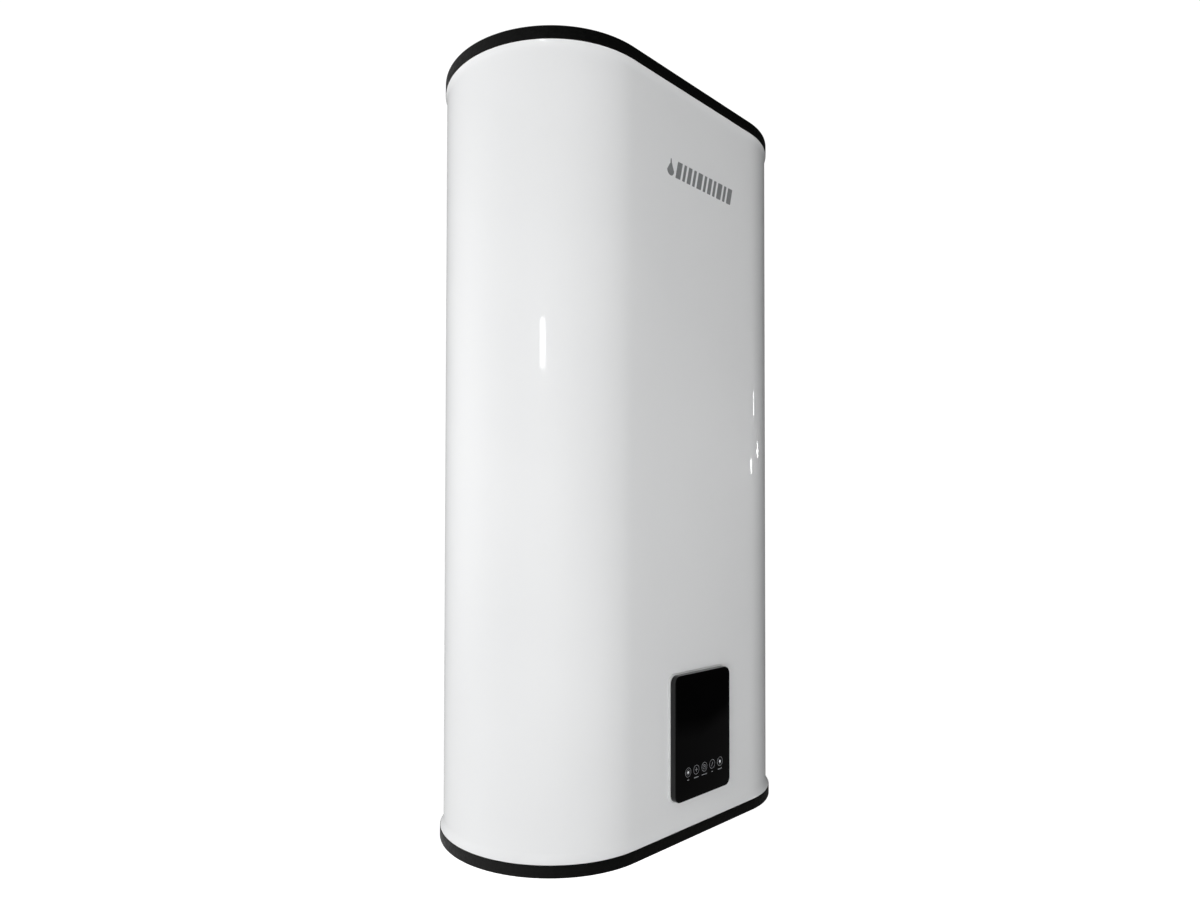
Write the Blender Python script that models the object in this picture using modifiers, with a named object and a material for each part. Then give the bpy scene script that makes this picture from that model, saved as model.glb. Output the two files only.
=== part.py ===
"""A flat, wall-hung electric storage water heater with two tanks side by side.

Lengths are in metres, +Z is up and the front faces -Y. The world origin lies on the
wall, in the middle of the upper wall bracket. Every piece is placed from the empty
"body_base", in the middle of the body's underside.
"""

import math

import bmesh
import bpy

# ---- Driving sizes -----------------------------------------------------------

GAP = 0.0003                    # left between pieces that touch
BODY_WIDTH = 0.470
BODY_DEPTH = 0.250
BODY_HEIGHT = 0.865             # over both end caps
WALL_GAP = 0.014                # from the body's back to the wall
UPPER_BRACKET_DROP = 0.205      # upper bracket's middle below the body's top
LOWER_BRACKET_HEIGHT = 0.180    # lower bracket's middle above the body's underside

SHEET = 0.0006                  # steel of the outer jacket
TOP_BAND = 0.0138               # height of each cap that shows
BOTTOM_BAND = 0.0128
TOP_FLARE = 0.0018              # how far the jacket's ends curl outwards
BOTTOM_FLARE = 0.0040
FLARE_LENGTH = 0.010
CAP_WALL = 0.003
CAP_ROUND = 0.0015
CAP_UPSTAND = 0.013             # the part of a cap that stands inside the jacket
CAP_SLACK = 0.0006              # between that part and the jacket
CAP_FLOOR = 0.005

FOAM_THICK = 0.025              # least foam between a tank and the jacket
TANK_SPACE = 0.020              # between the two tanks
TANK_WALL = 0.0012
DOME_SLACK = 0.0004             # between a dome's skirt and its barrel
DOME_HEIGHT = 0.045
DOME_SKIRT = 0.012              # the straight edge of a dome, inside its barrel
TANK_BOTTOM = 0.075             # lowest point of the domes above the underside
TANK_TOP_ROOM = 0.040           # from the top domes to the top of the body
FOAM_BOTTOM = 0.066

BRACKET_STEEL = 0.0025
BRACKET_TALL = 0.060
BRACKET_EDGE = 0.002            # from a bracket's end to the end of the body's flat back
BRACKET_FOOT = 0.024            # width of each foot
BRACKET_SLOPE = 0.008           # width of the slope from a foot to the raised plate
KEYHOLE_INSET = 0.026           # keyholes from the raised plate's ends
KEYHOLE_RADIUS = 0.008
KEYHOLE_SLOT = 0.0045           # half width of the narrow part
KEYHOLE_RISE = 0.016
TIE_OVERHANG = 0.015            # tie plate's ends past the tanks' and bosses' middles
TIE_STEEL = 0.003
TIE_TALL = 0.050
BOSS_RADIUS = 0.008
BOLT_RADIUS = 0.004
BOLT_SHANK = 0.020
BOLT_HEAD = 0.0053

NECK_BORE = 0.021               # the opening that a heating element goes in by
NECK_WALL = 0.004
COLLAR_LOW = 0.052              # lower face of the tank's flange collar
COLLAR_THICK = 0.006
GASKET_THICK = 0.0025
FLANGE_THICK = 0.004
STUD_INSET = 0.005              # stud circle outside the neck's bore
STUD_EDGE = 0.006               # flange's edge outside the stud circle
STUD_RADIUS = 0.003
STUD_TIP = 0.037
NUT_THICK = 0.005
ELEMENT_RADIUS = 0.004
ELEMENT_HALF_PITCH = 0.011
ELEMENT_TOP = 0.300
ANODE_RADIUS = 0.008
ANODE_LENGTH = 0.180
WELL_RADIUS = 0.004
WELL_WALL = 0.0008
WELL_TOP = 0.260
STACK_OFFSET = 0.0115           # anode and thermowell from the flange's middle

PIPE_SPACING = 0.130
PIPE_BACK = 0.064               # pipes behind the tanks' axes
PIPE_RADIUS = 0.0105            # half-inch pipe thread
PIPE_BORE = 0.0075
PIPE_DROP = 0.018               # how far the pipes stand out below the body
STANDPIPE_RADIUS = 0.0085
TRANSFER_RADIUS = 0.008
TRANSFER_WALL = 0.001
TRANSFER_BACK = 0.085           # the transfer pipe's run behind the tanks' axes
TRANSFER_FROM_DOME = 0.013      # between the transfer pipe's line and a dome's skirt
TRANSFER_BEND = 0.025
GLAND_BACK = 0.072
GLAND_BORE = 0.005

COVER_WIDTH = 0.350
COVER_DEPTH = 0.084
COVER_THICK = 0.0022
COVER_LEDGE_ENDS = 0.018
COVER_LEDGE_SIDES = 0.008
SCREW_RADIUS = 0.0015
SCREW_HEAD_RADIUS = 0.0033
SCREW_HEAD = 0.0015
SCREW_LENGTH = 0.008

PANEL_WIDTH = 0.099
PANEL_HEIGHT = 0.141
PANEL_MIDDLE = 0.117            # height of the panel's middle
PANEL_STANDOUT = 0.010          # front of the lens in front of the jacket
PANEL_CORNER = 0.009
BEZEL_MARGIN = 0.002
BEZEL_THICK = 0.002
LENS_FACE = 0.0024
LENS_RIM = 0.0065
BOX_DEPTH = 0.023
BOX_WALL = 0.002
BOARD_THICK = 0.0016
KEY_COUNT = 5
KEY_PITCH = 0.015
KEY_DROP = 0.039                # the row of touch keys below the panel's middle

TRAY_SIZE = (0.116, 0.076, 0.0155)
CUTOUT_SIZE = (0.030, 0.042, 0.022)
CUTOUT_X = -0.038
BUTTON_RADIUS = 0.0035
BUTTON_STANDOUT = 0.0045
BUTTON_COLLAR = (0.0047, 0.0015)            # radius and thickness of its captive end
BUTTON_LIP = 0.0070             # wall of the cut-out that the collar stays behind
BUTTON_CHAMBER = 0.0085         # height of the room above that wall
SPRING_WIRE = 0.0003            # half the wire's thickness
SPRING_TURNS = 4

ROUND_STEPS = 16                # flats in a half turn of the body's outline
TANK_STEPS = 24
DOME_STEPS = 4
PIPE_STEPS = 12
EDGE_STEPS = 3                  # flats in a cap's rounded edge, and in the jacket's curl

# ---- Sizes worked out from those ----------------------------------------------

SIDES = {"left": -1, "right": 1}
END_X = (BODY_WIDTH - BODY_DEPTH) / 2       # middle of each round end
TANK_RADIUS = min(
    BODY_DEPTH / 2 - FOAM_THICK, (BODY_WIDTH - 2 * FOAM_THICK - TANK_SPACE) / 4
)
TANK_X = TANK_RADIUS + TANK_SPACE / 2
TANK_TOP = BODY_HEIGHT - TANK_TOP_ROOM
BARREL_LOW = TANK_BOTTOM + DOME_HEIGHT
BARREL_HIGH = TANK_TOP - DOME_HEIGHT
DOME_RADIUS = TANK_RADIUS - TANK_WALL - DOME_SLACK
TRANSFER_LOW = BARREL_LOW + DOME_SKIRT + TRANSFER_FROM_DOME
TRANSFER_HIGH = BARREL_HIGH - DOME_SKIRT - TRANSFER_FROM_DOME
BOTTOM_LEDGE = BOTTOM_BAND
TOP_LEDGE = BODY_HEIGHT - TOP_BAND
JACKET_LOW = BOTTOM_LEDGE + SHEET           # the curled sheet leans past its own edge
JACKET_HIGH = TOP_LEDGE - SHEET
UPSTAND_OFFSET = -(SHEET + CAP_SLACK)
BRACKET_HEIGHT = BODY_HEIGHT - UPPER_BRACKET_DROP
BRACKETS = {"upper": BRACKET_HEIGHT, "lower": LOWER_BRACKET_HEIGHT}
BRACKET_END = END_X - BRACKET_EDGE
BOLT_X = BRACKET_END - BRACKET_FOOT / 2
RAISED_END = BRACKET_END - BRACKET_FOOT - BRACKET_SLOPE
KEYHOLE_X = RAISED_END - KEYHOLE_INSET
TIE_SIZE = (2 * (max(BOLT_X, TANK_X) + TIE_OVERHANG), TIE_STEEL, TIE_TALL)
TIE_Y = TANK_RADIUS + GAP + TIE_STEEL / 2
STUD_CIRCLE = NECK_BORE + STUD_INSET
FLANGE_RADIUS = STUD_CIRCLE + STUD_EDGE
GASKET_LOW = COLLAR_LOW - GAP - GASKET_THICK
FLANGE_LOW = GASKET_LOW - GAP - FLANGE_THICK
NUT_LOW = FLANGE_LOW - GAP - NUT_THICK
JACKET_FRONT = -BODY_DEPTH / 2
JACKET_BACK = BODY_DEPTH / 2
TRAY_UNDER = FOAM_BOTTOM - 0.0005 - 0.002   # underside of the tray's top plate
CUTOUT_LOW = TRAY_UNDER - GAP - CUTOUT_SIZE[2]
BUTTON_LOW = CUTOUT_LOW - BUTTON_STANDOUT


# ---- Ways of making a shape ------------------------------------------------------

def clear_scene():
    for obj in list(bpy.data.objects):
        bpy.data.objects.remove(obj)


def collection_named(name):
    made = bpy.data.collections.new(name)
    bpy.context.scene.collection.children.link(made)
    return made


def material(name, colour, roughness, metallic=0.0):
    found = bpy.data.materials.get(name)
    if found:
        return found
    made = bpy.data.materials.new(name)
    made.use_nodes = True
    shader = made.node_tree.nodes["Principled BSDF"]
    shader.inputs["Base Color"].default_value = (*colour, 1.0)
    shader.inputs["Roughness"].default_value = roughness
    shader.inputs["Metallic"].default_value = metallic
    return made


def place(data, name, finish=None, at=(0, 0, 0), turn=(0, 0, 0)):
    """An object on the body's empty. With no finish it's a cutter, which no render shows."""
    obj = bpy.data.objects.new(name, data)
    obj.location = at
    obj.rotation_euler = turn
    obj.parent = BODY_BASE
    if finish is None:
        CUTTERS.objects.link(obj)
        obj.hide_render = True
        obj.display_type = "WIRE"
    else:
        PARTS.objects.link(obj)
        data.materials.append(material(*finish))
    return obj


def mesh_from(shape, name, smooth=True, closed=True):
    mesh = bpy.data.meshes.new(name)
    if closed:
        bmesh.ops.recalc_face_normals(shape, faces=shape.faces)
    shape.to_mesh(mesh)
    shape.free()
    if smooth:
        mesh.shade_smooth()
        mesh.set_sharp_from_angle(angle=math.radians(30))
    return mesh


def box(name, size, finish=None, at=(0, 0, 0)):
    shape = bmesh.new()
    bmesh.ops.create_cube(shape, size=1)
    bmesh.ops.scale(shape, vec=size, verts=shape.verts)
    return place(mesh_from(shape, name, smooth=False), name, finish, at)


def rod(name, radius, length, finish=None, at=(0, 0, 0), turn=(0, 0, 0), steps=PIPE_STEPS):
    """A cylinder along its own Z, with its middle at the given place."""
    shape = bmesh.new()
    bmesh.ops.create_cone(
        shape, cap_ends=True, segments=steps, radius1=radius, radius2=radius, depth=length
    )
    return place(mesh_from(shape, name), name, finish, at, turn)


def modifier(obj, kind, **settings):
    made = obj.modifiers.new(kind.title(), kind)
    for setting, value in settings.items():
        setattr(made, setting, value)
    return obj


def cut(obj, *cutters):
    for cutter in cutters:
        modifier(obj, "BOOLEAN", operation="DIFFERENCE", object=cutter)
    return obj


def join(obj, *others):
    """Boolean union with helpers that overlap the piece."""
    for other in others:
        modifier(obj, "BOOLEAN", operation="UNION", object=other)
    return obj


def turned(name, profile, finish=None, at=(0, 0, 0), steps=PIPE_STEPS, ring=False):
    """Turns (radius, height) points round Z. A ring's profile is a closed loop."""
    mesh = bpy.data.meshes.new(name)
    count = len(profile)
    edges = [(i, i + 1) for i in range(count - 1)]
    if ring:
        edges.append((count - 1, 0))
    mesh.from_pydata([(radius, 0, height) for radius, height in profile], edges, [])
    obj = place(mesh, name, finish, at)
    return modifier(
        obj, "SCREW", steps=steps, render_steps=steps, use_merge_vertices=True,
        merge_threshold=1e-5, use_smooth_shade=True,
    )


def obround(offset=0.0):
    """The body's outline, grown by an offset: two half turns joined by flats."""
    radius = BODY_DEPTH / 2 + offset
    points = []
    for middle, start in ((END_X, -90), (-END_X, 90)):
        for step in range(ROUND_STEPS + 1):
            angle = math.radians(start + 180 * step / ROUND_STEPS)
            points.append((middle + radius * math.cos(angle), radius * math.sin(angle)))
    return points


def obround_wall(name, levels, finish=None, closed_ends=True):
    """Carries the body's outline up through (offset, height) levels."""
    shape = bmesh.new()
    offset, height = levels[0]
    ring = [shape.verts.new((x, y, height)) for x, y in obround(offset)]
    edges = [shape.edges.new(pair) for pair in zip(ring, ring[1:] + ring[:1])]
    first = edges
    for offset, height in levels[1:]:
        made = bmesh.ops.extrude_edge_only(shape, edges=edges)["geom"]
        edges = [item for item in made if isinstance(item, bmesh.types.BMEdge)]
        verts = [item for item in made if isinstance(item, bmesh.types.BMVert)]
        # The extrusion keeps the ring's order, so the new outline is laid on it in turn.
        for vert, (x, y) in zip(verts, obround(offset)):
            vert.co = (x, y, height)
    if closed_ends:
        bmesh.ops.contextual_create(shape, geom=first)
        bmesh.ops.contextual_create(shape, geom=edges)
    else:
        face_outwards(shape)
    return place(mesh_from(shape, name, closed=closed_ends), name, finish)


def face_outwards(shape):
    """An open wall has no inside to be found, so its faces are turned from its middle line."""
    shape.normal_update()
    for face in shape.faces:
        outwards = face.calc_center_median()
        outwards.z = 0
        if face.normal.dot(outwards) < 0:
            face.normal_flip()


def flat_outline(name, outline, thickness, finish=None, at=(0, 0, 0), turn=(0, 0, 0)):
    """A plate from a closed outline, as a mesh so that it can be cut."""
    curve = bpy.data.curves.new(name, "CURVE")
    curve.dimensions = "2D"
    curve.fill_mode = "BOTH"
    curve.extrude = thickness / 2
    spline = curve.splines.new("POLY")
    spline.points.add(len(outline) - 1)
    for point, (x, y) in zip(spline.points, outline):
        point.co = (x, y, 0, 1)
    spline.use_cyclic_u = True
    return place(mesh_of_curve(curve, name), name, finish, at, turn)


def mesh_of_curve(curve, name):
    """The mesh that a curve evaluates to, with its loose caps welded on."""
    helper = bpy.data.objects.new(name + "_curve", curve)
    bpy.context.scene.collection.objects.link(helper)
    graph = bpy.context.evaluated_depsgraph_get()
    mesh = bpy.data.meshes.new_from_object(helper.evaluated_get(graph))
    bpy.data.objects.remove(helper)
    shape = bmesh.new()
    shape.from_mesh(mesh)
    bmesh.ops.remove_doubles(shape, verts=shape.verts, dist=1e-6)
    bpy.data.meshes.remove(mesh)
    return mesh_from(shape, name)


def round_rectangle(width, height, corner, steps=4):
    points = []
    centres = ((1, -1, -90), (1, 1, 0), (-1, 1, 90), (-1, -1, 180))
    for side_x, side_y, start in centres:
        x, y = side_x * (width / 2 - corner), side_y * (height / 2 - corner)
        for step in range(steps + 1):
            angle = math.radians(start + 90 * step / steps)
            points.append((x + corner * math.cos(angle), y + corner * math.sin(angle)))
    return points


def tube_curve(name, points, radius, resolution=2, caps=True):
    """A curve with a round section along (x, y, z) points, or (x, y, z, thickness) ones."""
    curve = bpy.data.curves.new(name, "CURVE")
    curve.dimensions = "3D"
    curve.bevel_depth = radius
    curve.bevel_resolution = resolution
    curve.use_fill_caps = caps
    spline = curve.splines.new("POLY")
    spline.points.add(len(points) - 1)
    for point, (x, y, z, *thickness) in zip(spline.points, points):
        point.co = (x, y, z, 1)
        point.radius = thickness[0] if thickness else 1.0
    return curve


def bent(corners, radius, steps=4):
    """A route through the corners, with each turned at the given radius."""
    route = [tuple(corners[0])]
    for before, corner, after in zip(corners, corners[1:], corners[2:]):
        arms = []
        for end in (before, after):
            arm = [e - c for e, c in zip(end, corner)]
            length = math.hypot(*arm)
            arms.append([a / length for a in arm])
        between = math.acos(max(-1, min(1, sum(a * b for a, b in zip(*arms)))))
        reach = radius / math.tan(between / 2)
        start = [c + reach * a for c, a in zip(corner, arms[0])]
        finish = [c + reach * a for c, a in zip(corner, arms[1])]
        bisector = [a + b for a, b in zip(*arms)]
        size = math.hypot(*bisector)
        hub = [
            c + radius / math.sin(between / 2) * b / size
            for c, b in zip(corner, bisector)
        ]
        sweep = math.pi - between
        for step in range(steps + 1):
            share = step / steps
            first = math.sin((1 - share) * sweep) / math.sin(sweep)
            last = math.sin(share * sweep) / math.sin(sweep)
            route.append(tuple(
                h + first * (s - h) + last * (f - h) for h, s, f in zip(hub, start, finish)
            ))
    route.append(tuple(corners[-1]))
    return route


def arc(radius_x, radius_z, middle_z, start, stop, steps):
    """(radius, height) points of an ellipse's arc, by angle in degrees from level."""
    points = []
    for step in range(steps + 1):
        angle = math.radians(start + (stop - start) * step / steps)
        points.append((radius_x * math.cos(angle), middle_z + radius_z * math.sin(angle)))
    return points


# ---- Finishes: name, colour, roughness, metallic -------------------------------

WHITE_PAINT = ("white_paint", (0.86, 0.87, 0.88), 0.22)
BLACK_PLASTIC = ("black_plastic", (0.012, 0.012, 0.013), 0.42)
PIANO_BLACK = ("piano_black", (0.004, 0.004, 0.005), 0.06)
WHITE_PLASTIC = ("white_plastic", (0.80, 0.81, 0.82), 0.35)
GREY_PLASTIC = ("grey_plastic", (0.30, 0.31, 0.32), 0.5)
FOAM = ("pu_foam", (0.78, 0.66, 0.36), 0.9)
ZINC = ("zinc_plate", (0.62, 0.63, 0.64), 0.35, 1.0)
STAINLESS = ("stainless", (0.60, 0.60, 0.59), 0.3, 1.0)
COPPER = ("copper", (0.72, 0.36, 0.22), 0.35, 1.0)
MAGNESIUM = ("magnesium", (0.50, 0.51, 0.50), 0.6, 1.0)
RUBBER = ("black_rubber", (0.02, 0.02, 0.02), 0.8)
BOARD_GREEN = ("circuit_board", (0.02, 0.16, 0.07), 0.5)
RESET_RED = ("red_plastic", (0.60, 0.03, 0.03), 0.4)
COLD_BLUE = ("blue_plastic", (0.02, 0.12, 0.55), 0.4)


# ---- The outer shell -----------------------------------------------------------------

def flare(size, end, inward):
    """Levels of the jacket's curled end: a gentle outward curve to its edge."""
    levels = []
    for step in range(EDGE_STEPS + 1):
        share = step / EDGE_STEPS
        levels.append((size * (1 - share) ** 2, end + inward * FLARE_LENGTH * share))
    return levels


def make_jacket():
    levels = flare(BOTTOM_FLARE, JACKET_LOW, 1) + flare(TOP_FLARE, JACKET_HIGH, -1)[::-1]
    jacket = obround_wall("outer_jacket", levels, WHITE_PAINT, closed_ends=False)
    modifier(jacket, "SOLIDIFY", thickness=SHEET, offset=-1, use_even_offset=True)
    window = flat_outline(
        "jacket_window", round_rectangle(BOX_WIDTH + 0.002, BOX_HEIGHT + 0.002, 0.005),
        0.02, None, (0, JACKET_FRONT, PANEL_MIDDLE), (math.pi / 2, 0, 0),
    )
    cut(jacket, window, *bolt_holes("jacket", BOLT_RADIUS + 0.0005, 0.01, JACKET_BACK))


def bolt_holes(owner, radius, length, at_y):
    return [
        rod(f"{owner}_hole_{level}_{side}", radius, length, None,
            (SIDES[side] * BOLT_X, at_y, height), (math.pi / 2, 0, 0))
        for level, height in BRACKETS.items()
        for side in SIDES
    ]


def rounded_edge(offset, height, direction):
    """Levels that turn from the cap's side into its outer face, a quarter circle."""
    levels = []
    for step in range(EDGE_STEPS + 1):
        angle = math.pi / 2 * step / EDGE_STEPS
        levels.append((
            offset - CAP_ROUND * (1 - math.cos(angle)),
            height - direction * CAP_ROUND * (1 - math.sin(angle)),
        ))
    return levels


def make_top_cap():
    foot = TOP_LEDGE - CAP_UPSTAND
    levels = [
        (UPSTAND_OFFSET, foot), (UPSTAND_OFFSET, TOP_LEDGE), (TOP_FLARE, TOP_LEDGE),
        *rounded_edge(TOP_FLARE, BODY_HEIGHT, 1),
    ]
    cap = obround_wall("top_cap", levels, BLACK_PLASTIC)
    inside = UPSTAND_OFFSET - CAP_WALL
    hollow = obround_wall(
        "top_cap_hollow",
        [(inside, foot - 0.01), (inside, BODY_HEIGHT - CAP_WALL)],
    )
    cut(cap, hollow)


def make_bottom_cap():
    head = BOTTOM_LEDGE + CAP_UPSTAND
    levels = rounded_edge(BOTTOM_FLARE, 0.0, -1)[::-1] + [
        (BOTTOM_FLARE, BOTTOM_LEDGE), (UPSTAND_OFFSET, BOTTOM_LEDGE), (UPSTAND_OFFSET, head),
    ]
    cap = obround_wall("bottom_cap", levels, BLACK_PLASTIC)
    inside = UPSTAND_OFFSET - CAP_WALL
    hollow = obround_wall(
        "bottom_cap_hollow", [(inside, CAP_FLOOR), (inside, head + 0.01)]
    )
    recess = flat_outline(
        "cover_recess", round_rectangle(COVER_WIDTH, COVER_DEPTH, COVER_DEPTH / 2 - 1e-5),
        2 * (COVER_THICK + GAP), None,
    )
    opening_depth = COVER_DEPTH - 2 * COVER_LEDGE_SIDES
    opening = flat_outline(
        "service_opening",
        round_rectangle(
            COVER_WIDTH - 2 * COVER_LEDGE_ENDS, opening_depth, opening_depth / 2 - 1e-5
        ),
        0.03,
    )
    holes = [
        rod(f"pipe_hole_{side}", PIPE_RADIUS + 0.002, 0.03, None,
            (SIDES[side] * PIPE_SPACING / 2, PIPE_BACK, 0), steps=16)
        for side in SIDES
    ]
    holes.append(rod("gland_hole", GLAND_STEM + GAP, 0.03, None, (0, GLAND_BACK, 0), steps=16))
    holes += [
        rod(f"cover_pilot_{place_name}", SCREW_RADIUS + GAP, 0.03, None, (x, y, 0), steps=12)
        for place_name, (x, y) in COVER_SCREWS.items()
    ]
    cut(cap, hollow, recess, opening, *holes)


def make_service_cover():
    slack = 2 * GAP
    width, depth = COVER_WIDTH - 2 * slack, COVER_DEPTH - 2 * slack
    cover = flat_outline(
        "service_cover", round_rectangle(width, depth, depth / 2 - 1e-5), COVER_THICK,
        BLACK_PLASTIC, (0, 0, COVER_THICK / 2),
    )
    for place_name, (x, y) in COVER_SCREWS.items():
        cut(
            cover,
            rod(f"cover_hole_{place_name}", SCREW_RADIUS + GAP, 0.01, None, (x, y, 0), steps=12),
            rod(f"cover_sink_{place_name}", SCREW_HEAD_RADIUS + GAP, 2 * (SCREW_HEAD + GAP),
                None, (x, y, 0), steps=12),
        )
        turned(
            f"service_cover_screw_{place_name}",
            [(0, SCREW_LENGTH), (SCREW_RADIUS, SCREW_LENGTH - SCREW_RADIUS),
             (SCREW_RADIUS, SCREW_HEAD), (SCREW_HEAD_RADIUS, SCREW_HEAD),
             (SCREW_HEAD_RADIUS, 0.0005), (SCREW_HEAD_RADIUS - 0.0008, 0), (0, 0)],
            ZINC, (x, y, 0), steps=12,
        )


def make_foam():
    """The insulation, with room for the tanks, tie plates, transfer pipe and panel box."""
    side = -(SHEET + 0.0004)
    in_cap = UPSTAND_OFFSET - CAP_WALL - 0.0005
    step = TOP_LEDGE - CAP_UPSTAND - 0.0005
    foam = obround_wall(
        "foam_insulation",
        [(side, FOAM_BOTTOM), (side, step), (in_cap, step),
         (in_cap, BODY_HEIGHT - CAP_WALL - 0.0005)],
        FOAM,
    )
    room = TANK_RADIUS + 0.0004
    neck = NECK_BORE + NECK_WALL + 0.008
    lowest = math.degrees(math.acos(neck / room))
    profile = [
        *arc(room, DOME_HEIGHT + 0.0004, BARREL_HIGH, 90, 0, DOME_STEPS),
        *arc(room, DOME_HEIGHT + 0.0004, BARREL_LOW, 0, -lowest, DOME_STEPS),
        (neck, FOAM_BOTTOM - 0.01), (0, FOAM_BOTTOM - 0.01),
    ]
    profile[0] = (0, BARREL_HIGH + DOME_HEIGHT + 0.0004)
    cutters = []
    for name, sign in SIDES.items():
        cutters.append(
            turned(f"{name}_tank_room", profile, None, (sign * TANK_X, 0, 0), TANK_STEPS)
        )
        cutters.append(
            rod(f"{name}_pipe_room", PIPE_RADIUS + 0.0006, 0.06, None,
                (sign * PIPE_SPACING / 2, PIPE_BACK, FOAM_BOTTOM + 0.01))
        )
    for level, height in BRACKETS.items():
        cutters.append(box(
            f"{level}_tie_room", [size + 0.0008 for size in TIE_SIZE], None,
            (0, TIE_Y, height),
        ))
        for name, sign in SIDES.items():
            cutters.append(rod(
                f"{level}_boss_room_{name}", BOSS_RADIUS + 0.0005, 2 * (JACKET_BACK - TIE_Y),
                None, (sign * BOLT_X, JACKET_BACK, height), (math.pi / 2, 0, 0),
            ))
    channel = tube_curve("transfer_room", transfer_route(0.004), TRANSFER_RADIUS + 0.0006)
    cutters.append(place(mesh_of_curve(channel, "transfer_room"), "transfer_room"))
    cutters.append(box(
        "panel_box_room", (BOX_WIDTH + 0.002, 2 * BOX_DEPTH, BOX_HEIGHT + 0.002), None,
        (0, BOX_BACK_Y - BOX_DEPTH + 0.001, PANEL_MIDDLE),
    ))
    cut(foam, *cutters)


# ---- Wall brackets and what they bolt to -------------------------------------------------

def make_bracket(level, height):
    """A hat-shaped strip: two feet on the body and a raised plate against the wall."""
    foot_y = JACKET_BACK + GAP + BRACKET_STEEL / 2
    wall_y = JACKET_BACK + WALL_GAP - BRACKET_STEEL / 2
    half = [(RAISED_END, wall_y), (BRACKET_END - BRACKET_FOOT, foot_y), (BRACKET_END, foot_y)]
    line = [(-x, y) for x, y in reversed(half)] + half
    shape = bmesh.new()
    low = [shape.verts.new((x, y, -BRACKET_TALL / 2)) for x, y in line]
    edges = [shape.edges.new(pair) for pair in zip(low, low[1:])]
    made = bmesh.ops.extrude_edge_only(shape, edges=edges)["geom"]
    risen = [item for item in made if isinstance(item, bmesh.types.BMVert)]
    bmesh.ops.translate(shape, vec=(0, 0, BRACKET_TALL), verts=risen)
    bracket = place(
        mesh_from(shape, f"{level}_bracket", smooth=False), f"{level}_bracket", ZINC,
        (0, 0, height),
    )
    modifier(bracket, "SOLIDIFY", thickness=BRACKET_STEEL, offset=0, use_even_offset=True)
    middle_y = (foot_y + wall_y) / 2
    for name, sign in SIDES.items():
        x = sign * KEYHOLE_X
        cut(
            bracket,
            rod(f"{level}_keyhole_{name}", KEYHOLE_RADIUS, 0.04, None,
                (x, middle_y, height - KEYHOLE_RISE / 2), (math.pi / 2, 0, 0), 16),
            box(f"{level}_slot_{name}", (2 * KEYHOLE_SLOT, 0.04, KEYHOLE_RISE), None,
                (x, middle_y, height)),
            rod(f"{level}_slot_end_{name}", KEYHOLE_SLOT, 0.0402, None,
                (x, middle_y, height + KEYHOLE_RISE / 2), (math.pi / 2, 0, 0), 12),
            rod(f"{level}_foot_hole_{name}", BOLT_RADIUS + 0.0005, 0.02, None,
                (sign * BOLT_X, foot_y, height), (math.pi / 2, 0, 0)),
        )


def make_tie_plate(level, height):
    """The bar across both tanks' backs that carries the bracket's two threaded bosses."""
    plate = box(f"{level}_tie_plate", TIE_SIZE, ZINC, (0, TIE_Y, height))
    boss_end = JACKET_BACK - SHEET - GAP
    boss_start = TIE_Y
    for name, sign in SIDES.items():
        middle = (sign * BOLT_X, (boss_start + boss_end) / 2, height)
        join(plate, rod(f"{level}_boss_{name}", BOSS_RADIUS, boss_end - boss_start, None,
                        middle, (math.pi / 2, 0, 0)))
    for name, sign in SIDES.items():
        cut(plate, rod(f"{level}_boss_bore_{name}", BOLT_RADIUS + GAP, 0.036, None,
                       (sign * BOLT_X, boss_end, height), (math.pi / 2, 0, 0)))


def make_bolt(level, height, name, sign):
    """A hexagon bolt with its head behind the bracket's foot."""
    head_y = JACKET_BACK + 2 * GAP + BRACKET_STEEL
    bolt = rod(f"{level}_bracket_bolt_{name}", 0.0075, BOLT_HEAD, ZINC,
               (sign * BOLT_X, head_y + BOLT_HEAD / 2, height), (math.pi / 2, 0, 0), 6)
    shank = rod(f"{level}_shank_{name}", BOLT_RADIUS, BOLT_SHANK + 0.002, None,
                (sign * BOLT_X, head_y + 0.001 - BOLT_SHANK / 2, height),
                (math.pi / 2, 0, 0))
    join(bolt, shank)


# ---- Tanks and pipes ----------------------------------------------------------------------

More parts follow.
